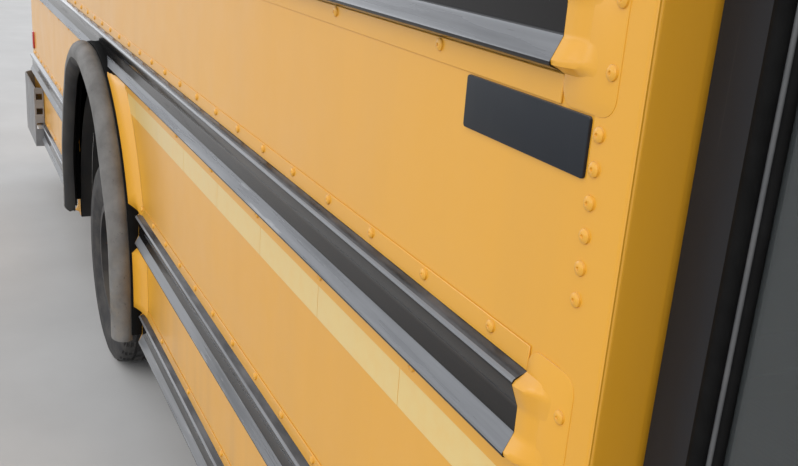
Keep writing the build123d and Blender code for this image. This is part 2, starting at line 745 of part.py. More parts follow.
# Rear emergency door, hinged on the right
rear_leaf_half = rear_door_width / 2 - swing_gap
rear_lights = ((1050, 1450, 30), (1600, 2190, 45))
with BuildPart() as rear_door:
    with BuildSketch(Plane.YZ.offset(rear_x)):
        with Locations((0, (rear_door_low_z + rear_door_high_z) / 2)):
            Rectangle(2 * rear_leaf_half, rear_door_high_z - rear_door_low_z - 2 * swing_gap)
        for low, high, corner in rear_lights:
            with Locations((0, (low + high) / 2)):
                RectangleRounded(2 * rear_leaf_half - 180, high - low, corner, mode=Mode.SUBTRACT)
    extrude(amount=40)
    hinge_sleeves(rear_hinges, upright)
keep(rear_door, "rear_door")
with BuildPart() as rear_door_glass:
    with BuildSketch(Plane.YZ.offset(rear_x + 15)):
        for low, high, corner in rear_lights:
            with Locations((0, (low + high) / 2)):
                RectangleRounded(2 * rear_leaf_half - 180 - 2 * gap, high - low - 2 * gap, corner)
    extrude(amount=glass_thick)
keep(rear_door_glass, "rear_door_glass")

# Chassis frame
eye_x = rear_x + 130
eye_z = 300
eye_radius = 20
eye_plate = 24
frame_y = 430
frame_low_z = 480
frame_high_z = 650
channel_flange = 70
channel_thick = 8
frame_front_x = front_x - 110
frame_rear_x = rear_x - bumper_reach + 8 + gap
cross_low_z = 600
cross_half = frame_y + channel_flange / 2 - channel_thick - gap
cross_places = [frame_rear_x + 150, rear_axle_x - 700, rear_axle_x + 700, 600, 1500, front_axle_x - 700]
with BuildPart() as chassis_frame:
    for side, _ in sides:
        with BuildSketch(Plane.YZ.offset(frame_rear_x)):
            with Locations((side * frame_y, (frame_low_z + frame_high_z) / 2)):
                Rectangle(channel_flange, frame_high_z - frame_low_z)
            with Locations((side * (frame_y - channel_thick), (frame_low_z + frame_high_z) / 2)):
                Rectangle(channel_flange, frame_high_z - frame_low_z - 2 * channel_thick, mode=Mode.SUBTRACT)
        extrude(amount=frame_front_x - frame_rear_x)
    for x in cross_places:
        block((x - 40, -cross_half, cross_low_z), (x + 40, cross_half, frame_high_z - channel_thick - gap))
        block((x - 30, -frame_y, cross_low_z - 1), (x + 30, frame_y, cross_low_z + 30), Mode.SUBTRACT)
    for x in (rear_x + 400, rear_axle_x + 900, 900):
        block((x - 40, -inner_y + 30, frame_high_z + gap), (x + 40, inner_y - 30, floor_z - floor_thick - gap))
    flange_tip_y = frame_y - channel_flange / 2 - gap
    block((frame_front_x - 150, -flange_tip_y, frame_low_z), (frame_front_x - 60, flange_tip_y, frame_high_z))
    for side, _ in sides:
        with BuildSketch(Plane.XZ.offset(-side * (frame_y + eye_plate / 2))):
            with Locations((eye_x, (frame_low_z - gap + eye_z) / 2)):
                Rectangle(90, frame_low_z - gap - eye_z)
            with Locations((eye_x, eye_z)):
                Circle(45)
                Circle(eye_radius, mode=Mode.SUBTRACT)
        extrude(amount=side * eye_plate)
keep(chassis_frame, "chassis_frame")

# Bumpers
plate_x_spacing = 178
plate_z_spacing = 121
plate_hole = 3.5
rear_bumper_low_z = 330
rear_bumper_high_z = 650
bumper_thick = 8
bumper_half = half_width + 50
bumper_corner = 110
bumper_hole = 34
bumper_hole_pitch = 80
rear_plate_z = (rear_bumper_low_z + rear_bumper_high_z) / 2
bumper_end_x = rear_x - bumper_reach + bumper_wrap
with BuildPart() as rear_bumper:
    with BuildSketch(Plane.XY.offset(rear_bumper_low_z)):
        with Locations((rear_x - bumper_reach + bumper_wrap, 0)):
            Rectangle(2 * bumper_wrap, 2 * bumper_half)
    extrude(amount=rear_bumper_high_z - rear_bumper_low_z)
    fillet(rear_bumper.edges().filter_by(Axis.Z).group_by(Axis.X)[0], bumper_corner)
    with BuildSketch(Plane.XY.offset(rear_bumper_low_z + bumper_thick)) as hollow:
        with Locations((rear_x - bumper_reach + bumper_thick + bumper_wrap, 0)):
            Rectangle(2 * bumper_wrap, 2 * (bumper_half - bumper_thick))
        fillet(hollow.vertices().group_by(Axis.X)[0], bumper_corner - bumper_thick)
    extrude(amount=2000, mode=Mode.SUBTRACT)
    block(
        (rear_x + 15, -bumper_half + bumper_thick, 0), (rear_x + 2000, bumper_half - bumper_thick, 2000), Mode.SUBTRACT
    )
    block((bumper_end_x, -2000, 0), (rear_x + 2000, 2000, 2000), Mode.SUBTRACT)
    end_plate_y = (half_width + 3 + bumper_half) / 2
    with BuildSketch(Plane.YZ.offset(bumper_end_x - bumper_thick)):
        for side, _ in sides:
            with Locations((side * end_plate_y, rear_plate_z)):
                Rectangle(bumper_half - half_width - 3, rear_bumper_high_z - rear_bumper_low_z)
            with Locations(*[(side * end_plate_y, rear_plate_z + bumper_hole_pitch * (i - 0.6)) for i in range(3)]):
                Rectangle(bumper_hole, bumper_hole, mode=Mode.SUBTRACT)
    extrude(amount=bumper_thick)
    with BuildSketch(Plane.YZ.offset(rear_x - bumper_reach - 1)):
        with Locations((0, rear_plate_z)):
            with GridLocations(plate_x_spacing, plate_z_spacing, 2, 2):
                Circle(plate_hole)
    extrude(amount=bumper_thick + 4, mode=Mode.SUBTRACT)
keep(rear_bumper, "rear_bumper")

front_bumper_low_z = 430
front_bumper_high_z = 640
front_plate_z = (front_bumper_low_z + front_bumper_high_z) / 2
with BuildPart() as front_bumper:
    with BuildSketch(Plane.XY.offset(front_bumper_low_z)):
        with Locations((front_x - 150, 0)):
            Rectangle(300, 2 * cab_half - 20)
    extrude(amount=front_bumper_high_z - front_bumper_low_z)
    fillet(front_bumper.edges().filter_by(Axis.Z).group_by(Axis.X)[-1], 110)
    block(
        (front_x - 400, -cab_half + 10 + bumper_thick, 0), (front_x - 110, cab_half - 10 - bumper_thick, 2000), Mode.SUBTRACT
    )
    block((front_x - 120, -cab_half + 125, 0), (front_x - bumper_thick, cab_half - 125, 2000), Mode.SUBTRACT)
    block((front_x - 400, -cab_half, 0), (front_x - 104, cab_half, 2000), Mode.SUBTRACT)
    with BuildSketch(Plane.YZ.offset(front_x - bumper_thick - 2)):
        with Locations((0, front_plate_z)):
            with GridLocations(plate_x_spacing, plate_z_spacing, 2, 2):
                Circle(plate_hole)
    extrude(amount=bumper_thick + 4, mode=Mode.SUBTRACT)
    for side, _ in sides:
        low_y, high_y = sorted((side * (frame_y - 35), side * (frame_y + 35)))
        block((frame_front_x + gap, low_y, frame_low_z), (front_x - bumper_thick, high_y, front_bumper_high_z))
keep(front_bumper, "front_bumper")

# Running gear
rim_points = (
    (-90, 218), (-82, 218), (-82, 203), (-45, 201), (-28, 184), (28, 184), (45, 201), (82, 203), (82, 218), (90, 218),
    (90, 195), (50, 193), (33, 176), (-15, 176), (-70, 150), (-123, 125), (-123, 60), (-133, 60), (-133, 130), (-75, 160),
    (-30, 176), (-50, 193), (-90, 195),
)
tyre_points = (
    (-81, 203.4), (-81, 228), (-111, 290), (-102, 345), (-80, 372), (80, 372), (102, 345), (111, 290), (81, 228),
    (81, 203.4),
)


def mirrored(points):
    return [(-a, r) for a, r in points]


def hand_holes(x, disc_start, side):
    # Eight hand holes through a wheel disc, from disc_start outboard
    with BuildSketch(Plane(origin=(x, side * disc_start, wheel_z), x_dir=(1, 0, 0), z_dir=(0, side, 0))) as holes:
        with PolarLocations(hand_hole_ring, 8):
            Circle(hand_hole_radius)
    extrude(holes.sketch, amount=70, mode=Mode.SUBTRACT)


for side, word in sides:
    with BuildPart() as tyres:
        ring_wheel(tyre_points, rear_axle_x, side * outer_dual_y, side)
        ring_wheel(tyre_points, rear_axle_x, side * inner_dual_y, side)
    keep(tyres, "rear_tyres_" + word)
    with BuildPart() as rims:
        ring_wheel(rim_points, rear_axle_x, side * outer_dual_y, side)
        ring_wheel(mirrored(rim_points), rear_axle_x, side * inner_dual_y, side)
        hub_face = dual_track / 2 - 10
        bore = spindle_radius + running_clearance
        ring_wheel(
            (
                (hub_face + 75, bore), (hub_face + 75, 62), (hub_face + 1, 62), (hub_face + 1, 120), (hub_face - 15, 120),
                (hub_face - 15, 165), (hub_face - 170, 165), (hub_face - 170, 152), (hub_face - 28, 152),
                (hub_face - 28, 62), (hub_face - 110, 62), (hub_face - 110, bore),
            ),
            rear_axle_x, 0, side,
        )
        hand_holes(rear_axle_x, outer_dual_y - disc_offset + 25, side)
    keep(rims, "rear_rims_" + word)
    with BuildPart() as tyre:
        ring_wheel(tyre_points, front_axle_x, side * front_wheel_y, side)
    keep(tyre, "front_tyre_" + word)
    with BuildPart() as rim:
        ring_wheel(mirrored(rim_points), front_axle_x, side * front_wheel_y, side)
        disc_y = front_wheel_y + disc_offset - 10
        ring_wheel(
            (
                (disc_y + 45, bore), (disc_y + 45, 62), (disc_y + 1, 62), (disc_y + 1, 110), (disc_y - 12, 110),
                (disc_y - 12, 62), (disc_y - 60, 62), (disc_y - 60, 125), (disc_y - 85, 125), (disc_y - 85, bore),
            ),
            front_axle_x, 0, side,
        )
        hand_holes(front_axle_x, disc_y - 85, side)
    keep(rim, "front_rim_" + word)

axle_tube = 50
differential_radius = 150
spring_y = 540
spring_width = 75
with BuildPart() as rear_axle:
    for side, _ in sides:
        ring_wheel(
            (
                (0, 0), (0, differential_radius), (60, differential_radius), (120, 90), (200, axle_tube),
                (hub_face - 180, axle_tube),
                (hub_face - 180, 145), (hub_face - 172, 145), (hub_face - 172, axle_tube), (hub_face - 112, axle_tube),
                (hub_face - 112, spindle_radius), (hub_face + 60, spindle_radius), (hub_face + 60, 0),
            ),
            rear_axle_x, 0, side,
        )
keep(rear_axle, "rear_axle")

# Front axle, knuckles and steering linkage
boss_radius = 34
boss_half = 60
kingpin_radius = 16
beam_half = 32
beam_flat = frame_y + 60
arm_length = 120
arm_half = 20
arm_high_z = wheel_z - 4
arm_thick = 18
tie_radius = 12
tie_thick = 28
ball_radius = 9
with BuildPart() as front_axle:
    with BuildSketch(Plane.YZ.offset(front_axle_x - beam_half)):
        with BuildLine():
            Polyline(
                (-kingpin_y, wheel_z + 35), (-kingpin_y + 120, wheel_z + 30), (-beam_flat, wheel_z - 10), (beam_flat, wheel_z - 10),
                (kingpin_y - 120, wheel_z + 30), (kingpin_y, wheel_z + 35), (kingpin_y, wheel_z - 35),
                (kingpin_y - 120, wheel_z - 40), (beam_flat, wheel_z - 90), (-beam_flat, wheel_z - 90),
                (-kingpin_y + 120, wheel_z - 40), (-kingpin_y, wheel_z - 35), close=True,
            )
        make_face()
    extrude(amount=2 * beam_half)
    for side, _ in sides:
        with Locations((front_axle_x, side * kingpin_y, wheel_z)):
            Cylinder(boss_radius, 2 * boss_half)
    for side, _ in sides:
        low_y, high_y = sorted((side * kingpin_y, side * (kingpin_y + 60)))
        block((front_axle_x - 60, low_y, wheel_z - 80), (front_axle_x + 60, high_y, wheel_z + 80), Mode.SUBTRACT)
        with Locations((front_axle_x, side * kingpin_y, wheel_z)):
            Cylinder(boss_radius, 2 * boss_half)
            Cylinder(kingpin_radius + running_clearance, 4 * boss_half, mode=Mode.SUBTRACT)
keep(front_axle, "front_axle")

ear_gap = 6
ear_thick = 20
plate_in_y = kingpin_y + boss_radius + 8
for side, word in sides:
    with BuildPart() as knuckle:
        low_y, high_y = sorted((side * plate_in_y, side * (plate_in_y + 18)))
        block((front_axle_x - 45, low_y, wheel_z - boss_half - ear_gap - ear_thick),
              (front_axle_x + 45, high_y, wheel_z + boss_half + ear_gap + ear_thick))
        for lift in (-1, 1):
            ear_z = wheel_z + lift * (boss_half + ear_gap + ear_thick / 2)
            with Locations((front_axle_x, side * kingpin_y, ear_z)):
                Cylinder(boss_radius, ear_thick)
            low_y, high_y = sorted((side * kingpin_y, side * (plate_in_y + 18)))
            block((front_axle_x - boss_radius, low_y, ear_z - ear_thick / 2),
                  (front_axle_x + boss_radius, high_y, ear_z + ear_thick / 2))
        with Locations((front_axle_x, side * kingpin_y, wheel_z)):
            Cylinder(kingpin_radius, 2 * (boss_half + ear_gap + 2))
        ring_wheel(
            ((plate_in_y, 0), (plate_in_y, 45), (plate_in_y + 22, 45), (plate_in_y + 30, spindle_radius),
             (front_wheel_y + disc_offset + 20, spindle_radius), (front_wheel_y + disc_offset + 20, 0)),
            front_axle_x, 0, side,
        )
        low_y, high_y = sorted((side * (kingpin_y - arm_half), side * (plate_in_y + 18)))
        block((front_axle_x - arm_length - arm_half, low_y, arm_high_z - arm_thick),
              (front_axle_x - arm_length + arm_half, high_y, arm_high_z))
        low_y, high_y = sorted((side * plate_in_y, side * (plate_in_y + 18)))
        block((front_axle_x - arm_length, low_y, arm_high_z - arm_thick), (front_axle_x, high_y, arm_high_z))
        with Locations((front_axle_x - arm_length, side * kingpin_y, arm_high_z - 30)):
            Cylinder(ball_radius, 60)
    keep(knuckle, "knuckle_" + word)

tie_mid_z = arm_high_z - arm_thick - 6 - tie_thick / 2
with BuildPart() as tie_rod:
    with Locations((front_axle_x - arm_length, 0, tie_mid_z)):
        Cylinder(tie_radius, 2 * kingpin_y - 30, rotation=(90, 0, 0))
    for side, slack in ((1, running_clearance), (-1, 3)):
        with Locations((front_axle_x - arm_length, side * kingpin_y, tie_mid_z)):
            Cylinder(22, tie_thick)
            Cylinder(ball_radius + slack, 2 * tie_thick, mode=Mode.SUBTRACT)
keep(tie_rod, "tie_rod")

# Springs
spring_half = 650
eye_lift = 505
with BuildPart() as rear_springs:
    for side, _ in sides:
        for half, low_z in ((spring_half, wheel_z + axle_tube + 24), (0.6 * spring_half, wheel_z + axle_tube + gap)):
            rise = (eye_lift - wheel_z - axle_tube - 24) * (half / spring_half) ** 2
            with BuildSketch(Plane.XZ.offset(-side * (spring_y + side * spring_width / 2))):
                with BuildLine():
                    ThreePointArc(
                        (rear_axle_x - half, low_z + rise), (rear_axle_x, low_z), (rear_axle_x + half, low_z + rise)
                    )
                    Line((rear_axle_x + half, low_z + rise), (rear_axle_x + half, low_z + rise + 24))
                    ThreePointArc(
                        (rear_axle_x + half, low_z + rise + 24),
                        (rear_axle_x, low_z + 24),
                        (rear_axle_x - half, low_z + rise + 24),
                    )
                    Line((rear_axle_x - half, low_z + rise + 24), (rear_axle_x - half, low_z + rise))
                make_face()
            extrude(amount=spring_width)
        for x in (rear_axle_x - spring_half, rear_axle_x + spring_half):
            low_y, high_y = sorted((side * (frame_y + channel_flange / 2 + gap), side * (spring_y + spring_width / 2)))
            block((x - 30, low_y, eye_lift - 5), (x + 30, high_y, frame_high_z - 30))

coil_turns = 4
coil_low_z = wheel_z - 10 + gap
coil_high_z = frame_low_z - gap
with BuildPart() as springs:
    add(rear_springs.part)
    for side, _ in sides:
        with Locations((front_axle_x, side * frame_y, (coil_low_z + coil_high_z) / 2)):
            Cylinder(42, coil_high_z - coil_low_z)
        pitch = (coil_high_z - coil_low_z) / coil_turns
        with Locations(*[(front_axle_x, side * frame_y, coil_low_z + pitch * (i + 0.5)) for i in range(coil_turns)]):
            Cylinder(50, 14)
keep(springs, "springs")

# Engine, drive line, tank and exhaust
with BuildPart() as engine_block:
    block((front_axle_x + 60, -270, 480), (front_axle_x + 560, 270, 1010))
    block((front_axle_x - 640, -170, 430), (front_axle_x + 60, 170, 690))

yoke_radius = 50
yoke_long = 40
shaft_start = Vector(front_axle_x - 640 - gap - yoke_long / 2, 0, 545)
shaft_end = Vector(rear_axle_x + differential_radius + gap + yoke_long / 2, 0, wheel_z + 10)
with BuildPart() as drive_line:
    add(engine_block.part)
    with BuildSketch(Plane(origin=shaft_end, z_dir=shaft_start - shaft_end)):
        Circle(42)
    extrude(amount=(shaft_start - shaft_end).length)
    with Locations(shaft_start, shaft_end):
        Cylinder(yoke_radius, yoke_long, rotation=(0, 90, 0))
keep(drive_line, "drive_line")

with BuildPart() as fuel_tank:
    block((-150, frame_y + 75, 370), (850, half_width - 160, floor_z - floor_thick - gap))
    fillet(fuel_tank.edges().filter_by(Axis.X), 45)
keep(fuel_tank, "fuel_tank")

pipe_y = -250
pipe_z = cross_low_z - 38 - gap
with BuildPart() as exhaust:
    with Locations(((front_axle_x - 300 + rear_x + 60) / 2, pipe_y, pipe_z)):
        Cylinder(38, front_axle_x - 300 - rear_x - 60, rotation=(0, 90, 0))
    with Locations((1000, pipe_y, pipe_z)):
        Cylinder(80, 700, rotation=(0, 90, 0))
    with Locations((0, pipe_y, pipe_z)):
        Cylinder(30, 2 * overall_length, rotation=(0, 90, 0), mode=Mode.SUBTRACT)
keep(exhaust, "exhaust")

flap_start = rear_axle_x - 478
with BuildPart() as mud_flaps:
    for side, _ in sides:
        low_y, high_y = sorted((side * (inner_dual_y - tyre_half_width), side * (inner_y - 2)))
        flap_top = arch_z + math.sqrt((arch_radius - 8 - gap) ** 2 - 478**2)
        block((flap_start, low_y, 180), (flap_start + 8, high_y, flap_top))
keep(mud_flaps, "mud_flaps")

# Front wheelhouses and the cab floor between them
cab_floor_half = 560
with BuildPart() as front_wheelhouses:
    for side, _ in sides:
        for radius, low, high, mode in (
            (front_arch_radius, cab_floor_half, cab_half - cab_wall - gap, Mode.ADD),
            (front_arch_radius - 6, cab_floor_half + 6, cab_half, Mode.SUBTRACT),
        ):
            with BuildSketch(Plane.XZ.offset(-side * low)):
                with Locations((front_axle_x, wheel_z)):
                    Circle(radius)
                with Locations((front_axle_x, wheel_z - radius + 120)):
                    Rectangle(2 * radius, 2 * radius, mode=Mode.SUBTRACT)
            extrude(amount=-side * (high - low), mode=mode)

firewall_x = front_axle_x + 40
with BuildPart() as cab_floor:
    block((body_front_x - wall, -cab_floor_half + gap, floor_z - floor_thick), (firewall_x, cab_floor_half - gap, floor_z))
    block((firewall_x, -cab_half + cab_wall + 15, 830), (firewall_x + 12, cab_half - cab_wall - 15, 1300))
    block((firewall_x, -cab_floor_half + gap, floor_z - floor_thick), (firewall_x + 12, cab_floor_half - gap, 840))
    add(front_wheelhouses.part)
keep(cab_floor, "cab_floor")

# Dashboard with its engine cover, steering column and wheel
column_y = 480
dash_rear_x = firewall_x - 330
with BuildPart() as dashboard:
    block((dash_rear_x, -cab_half + cab_wall + 20, 1010), (firewall_x - gap, cab_half - cab_wall - 20, 1290))
    fillet(dashboard.edges().filter_by(Axis.Y).group_by(Axis.X)[0], 60)
    block((body_front_x + 60, -330, floor_z + gap), (firewall_x - gap, 330, 1060))

column_rake = math.radians(35)
column_dir = Vector(-math.cos(column_rake), 0, math.sin(column_rake))
column_base = Vector(dash_rear_x - gap, column_y, 1235)
column_length = 150
steer_centre = column_base + column_dir * column_length
wheel_ring = 205
with BuildPart() as steering_column:
    add(dashboard.part)
    with BuildSketch(Plane(origin=column_base + column_dir * 20, z_dir=column_dir)):
        Circle(30)
    extrude(amount=column_length - 20 - gap)
    block((dash_rear_x - 45, column_y - 36, 1200), (dash_rear_x + 5, column_y + 36, 1275))
keep(steering_column, "dashboard")

wheel_plane = Plane(origin=steer_centre, x_dir=(0, 1, 0), z_dir=column_dir)
with BuildPart() as steering_wheel:
    with BuildSketch(wheel_plane):
        Circle(48)
    extrude(amount=28)
    with Locations(wheel_plane.offset(14)):
        Torus(wheel_ring, 14)
    for turn in (90, 210, 330):
        with BuildSketch(wheel_plane.offset(8)):
            with PolarLocations(0, 1, start_angle=turn):
                with Locations((wheel_ring / 2, 0)):
                    Rectangle(wheel_ring, 26)
        extrude(amount=12)
keep(steering_wheel, "steering_wheel")

# Seats
seat_pitch = window_pitch
seat_rows = 7
seat_first_x = jamb_x - 330
seat_aisle_y = 190
seat_wall_y = inner_y - 25
seat_deep = 400
pad_thick = 90
pad_low_z = floor_z + 370
back_thick = 75
back_top_z = floor_z + 1010
with BuildPart() as seat_pads:
    for side, _ in sides:
        low_y, high_y = sorted((side * seat_aisle_y, side * seat_wall_y))
        for row in range(seat_rows):
            x = seat_first_x - seat_pitch * row
            block((x - seat_deep / 2, low_y, pad_low_z), (x + seat_deep / 2, high_y, pad_low_z + pad_thick))
            block(
                (x - seat_deep / 2 - back_thick - gap, low_y, pad_low_z + 20),
                (x - seat_deep / 2 - gap, high_y, back_top_z),
            )
keep(seat_pads, "seat_pads")

with BuildPart() as seat_frames:
    for side, _ in sides:
        for row in range(seat_rows):
            x = seat_first_x - seat_pitch * row
            low_y, high_y = sorted((side * (seat_aisle_y + 30), side * (inner_y - gap)))
            block((x - 220, low_y, pad_low_z - 30), (x + 170, high_y, pad_low_z - gap))
            block((x - 190, low_y + 30, pad_low_z - 31), (x + 140, high_y - 30, pad_low_z + 1), Mode.SUBTRACT)
            low_y, high_y = sorted((side * (seat_aisle_y + 30), side * (seat_aisle_y + 60)))
            block((x - 180, low_y, floor_z + gap), (x + 130, high_y, pad_low_z - 29))
            block((x - 140, low_y - 1, floor_z + 40), (x + 90, high_y + 1, pad_low_z - 70), Mode.SUBTRACT)
keep(seat_frames, "seat_frames")

driver_x = left_front_x + 130
with BuildPart() as driver_seat:
    block((driver_x - 150, column_y - 150, floor_z + gap), (driver_x + 150, column_y + 150, floor_z + 270))
    block((driver_x - 230, column_y - 240, floor_z + 270), (driver_x + 250, column_y + 240, floor_z + 390))
    block((driver_x - 300, column_y - 240, floor_z + 280), (driver_x - 190, column_y + 240, floor_z + 1120))
    fillet(driver_seat.edges().filter_by(Axis.X).group_by(Axis.Z)[-1], 40)
keep(driver_seat, "driver_seat")

# Mirrors on arms from the cab's shoulders
mirror_x = front_axle_x + 170
mirror_out_y = half_width + 210
with BuildPart() as mirrors:
    for side, _ in sides:
        for z in (1180, 1560):
            low_y, high_y = sorted((side * (cab_half + gap), side * (mirror_out_y - 60)))
            block((mirror_x - 12, low_y, z - 12), (mirror_x + 12, high_y, z + 12))
        low_y, high_y = sorted((side * (cab_half + gap), side * (cab_half + 25)))
        block((mirror_x - 12, low_y, 1100), (mirror_x + 12, high_y, 1570))
        low_y, high_y = sorted((side * (mirror_out_y - 190), side * mirror_out_y))
        block((mirror_x - 70, low_y, 1250), (mirror_x - 11, high_y, 1620))
        low_y, high_y = sorted((side * (mirror_out_y - 130), side * (mirror_out_y - 106)))
        block((mirror_x - 12, low_y, 1170), (mirror_x + 12, high_y, 1570))
keep(mirrors, "mirrors")

# Warning lamps on the raked cap and on the rear gable
lamp_radius = 90
lamp_reach = 45
cap_low = Vector(cap_front_x - cap_slope * 0.3, 0, overhang_z + 330)
cap_high = Vector(cap_front_x - cap_slope, 0, roof_z - 60)
cap_run = cap_high - cap_low
cap_normal = Vector(cap_run.Z, 0, -cap_run.X).normalized()
front_lamp = cap_low + cap_run * 0.4
marker_places = (-900, -180, 0, 180, 900)
marker_z = 2640
marker_half = 35
marker_reach = 18
rear_lamp_z = 2480
tail_lamp_y = 870
tail_lamp_heights = (1010, 1480)
for word, lamp_y in (("red", 850), ("amber", 600)):
    with BuildPart() as lamps:
        for side, _ in sides:
            spot = Vector(front_lamp.X, side * lamp_y, front_lamp.Z) + cap_normal * gap
            with BuildSketch(Plane(origin=spot, z_dir=cap_normal)):
                Circle(lamp_radius)
            extrude(amount=lamp_reach)
            with BuildSketch(Plane(origin=(rear_x - gap, side * lamp_y, rear_lamp_z), z_dir=(-1, 0, 0))):
                Circle(lamp_radius)
            extrude(amount=lamp_reach)
            if word == "red":
                for z in tail_lamp_heights:
                    with BuildSketch(Plane(origin=(rear_x - gap, side * tail_lamp_y, z), z_dir=(-1, 0, 0))):
                        Circle(lamp_radius)
                    extrude(amount=30)
        if word == "red":
            marker_plane = Plane(origin=(rear_x - gap, 0, marker_z), x_dir=(0, -1, 0), z_dir=(-1, 0, 0))
        else:
            marker_spot = cap_low + cap_run * 0.88 + cap_normal * gap
            marker_plane = Plane(origin=marker_spot, x_dir=(0, 1, 0), z_dir=cap_normal)
        with BuildSketch(marker_plane):
            with Locations(*[(y, 0) for y in marker_places]):
                SlotOverall(2 * marker_half, 24)
        extrude(amount=marker_reach)
    keep(lamps, "lamps_" + word)

# Stop arm on the left, folded against the side
stop_hinge_x = jamb_x + 90
stop_z = 1380
stop_across = 457
stop_hinge_y = half_width + 46
blade_thick = 6
with BuildPart() as stop_arm_base:
    block((stop_hinge_x + 12, half_width + gap, stop_z - 90), (stop_hinge_x + 110, half_width + 60, stop_z + 90))
    for z in (stop_z - 80, stop_z + 80):
        block((stop_hinge_x - 8, half_width + gap, z - 10), (stop_hinge_x + 13, half_width + 60, z + 10))
    with Locations((stop_hinge_x, stop_hinge_y, stop_z)):
        Cylinder(6, 175)
keep(stop_arm_base, "stop_arm_base")

with BuildPart() as stop_arm:
    with BuildSketch(Plane.XZ.offset(-stop_hinge_y - blade_thick / 2)):
        with Locations((stop_hinge_x - 40 - stop_across / 2, stop_z)):
            RegularPolygon(stop_across / 2, 8, major_radius=False, rotation=22.5)
    extrude(amount=blade_thick)
    block((stop_hinge_x - 60, stop_hinge_y - blade_thick / 2, stop_z - 60), (stop_hinge_x, stop_hinge_y + blade_thick / 2, stop_z + 60))
    with Locations((stop_hinge_x, stop_hinge_y, stop_z)):
        Cylinder(11, 120)
        Cylinder(6 + running_clearance, 300, mode=Mode.SUBTRACT)
keep(stop_arm, "stop_arm")
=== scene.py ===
import json
import math

import bmesh
import bpy
from mathutils import Matrix, Vector, noise
from mathutils.bvhtree import BVHTree


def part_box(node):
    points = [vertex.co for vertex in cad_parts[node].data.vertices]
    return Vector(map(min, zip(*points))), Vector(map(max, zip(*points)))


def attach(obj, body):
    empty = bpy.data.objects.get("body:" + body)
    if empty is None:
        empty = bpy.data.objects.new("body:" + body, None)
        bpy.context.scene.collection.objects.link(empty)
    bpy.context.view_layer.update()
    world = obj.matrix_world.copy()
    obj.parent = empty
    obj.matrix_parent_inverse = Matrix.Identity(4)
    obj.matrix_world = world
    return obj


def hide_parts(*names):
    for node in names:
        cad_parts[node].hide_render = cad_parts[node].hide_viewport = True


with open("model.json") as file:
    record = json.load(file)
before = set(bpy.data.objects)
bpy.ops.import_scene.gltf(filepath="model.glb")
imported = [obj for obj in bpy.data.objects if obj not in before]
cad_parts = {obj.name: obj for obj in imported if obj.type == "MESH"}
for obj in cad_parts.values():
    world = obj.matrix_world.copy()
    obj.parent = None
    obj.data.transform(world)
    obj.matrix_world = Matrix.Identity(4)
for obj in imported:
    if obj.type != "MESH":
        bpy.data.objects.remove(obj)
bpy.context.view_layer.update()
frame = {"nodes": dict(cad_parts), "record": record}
scene = bpy.context.scene
cad = frame["nodes"]
sides = ((-1, "right"), (1, "left"))


def middle(node):
    low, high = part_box(node)
    return (low + high) / 2


# Sizes read from the frame, in metres: X runs forward, Y to the vehicle's left, Z up
wall_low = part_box("side_wall_right")[0]
half_width = -wall_low.y
skirt_z = wall_low.z
rear_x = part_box("rear_wall")[0].x
jamb_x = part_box("transition_panels")[0].x + 0.020
left_front_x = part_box("rail_pressings")[1].x + 0.034
front_ends = {-1: jamb_x, 1: left_front_x}
cab_half = -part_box("cab_shell")[0].y
rear_axle = middle("rear_tyres_left")
front_axle = middle("front_tyre_left")
wheel_z = rear_axle.z
bumper_end_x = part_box("rear_bumper")[1].x
seat_pitch = 0.711

# Rear wheel arch: the cut in the wall, and the fender's path round it
cut_z = 0.395
cut_radius = 0.650
fender_z = 0.500
fender_root = 0.668
fender_low_z = 0.360
fender_rear_z = 0.400
fender_tab = 0.030
rear_set_back = 0.018

# Sections across the arch: distance from its middle, and out from the wall
fender_hollow = (0.632, 0.045)
fender_section = (
    (0.6680, 0.0330), (0.6755, 0.0405), (0.6795, 0.0520), (0.6780, 0.0660), (0.6700, 0.0785),
    (0.6570, 0.0875), (0.6400, 0.0920), (0.6220, 0.0910), (0.6050, 0.0845), (0.5930, 0.0735),
    (0.5870, 0.0600), (0.5865, 0.0520), (0.5915, 0.0525), (0.5925, 0.0595), (0.5975, 0.0700),
    (0.6080, 0.0795), (0.6230, 0.0853), (0.6400, 0.0862), (0.6540, 0.0820), (0.6650, 0.0745),
    (0.6720, 0.0640), (0.6735, 0.0525), (0.6710, 0.0440), (0.6645, 0.0370),
)
welt = (
    (0.6660, 0.0000), (0.6745, 0.0000), (0.6775, 0.0110), (0.6790, 0.0240), (0.6775, 0.0320),
    (0.6725, 0.0352), (0.6670, 0.0335), (0.6650, 0.0270), (0.6650, 0.0120),
)

# Flared panel: outer radius, gap to the fender's root, rise, float off the wall, and run-out at a rail
flare_radius = 0.750
flare_gap = 0.008
flare_rise = 0.030
flare_float = 0.0004
flare_run = 0.014

# Rub rails
rail_height = 0.105
flange_height = 0.028
flange_thick = 0.002
rail_end = 0.034
rail_taper = 0.054
rail_flat = 0.026
# Rail, root height, first upper rivet and pitch, first lower rivet and pitch, all from the front end
rails = (
    ("sill", 1.640, 0.190, 0.162, 0.361, 0.323),
    ("seat", 1.229, 0.190, 0.162, 0.363, 0.330),
    ("floor", 0.768, 0.208, 0.160, 0.336, 0.330),
    ("skirt", 0.459, 0.307, 0.311, 0.336, 0.330),
)
# Rail section: distance from the wall and height from the root, as folded and as rolled
rail_section = ((0, 0), (0.019, -0.011), (0.008, -0.040), (0.008, -0.070), (0.021, -0.095), (0, -0.105))
rail_rolled = (
    (0, -0.0002), (0.0145, -0.0058), (0.0172, -0.0076), (0.0187, -0.0104), (0.0184, -0.0138),
    (0.0094, -0.0372), (0.0084, -0.0402), (0.0081, -0.0440), (0.0081, -0.0660), (0.0085, -0.0696),
    (0.0098, -0.0728), (0.0192, -0.0906), (0.0206, -0.0934), (0.0206, -0.0960), (0.0190, -0.0978),
    (0, -0.1048),
)


# Finishes


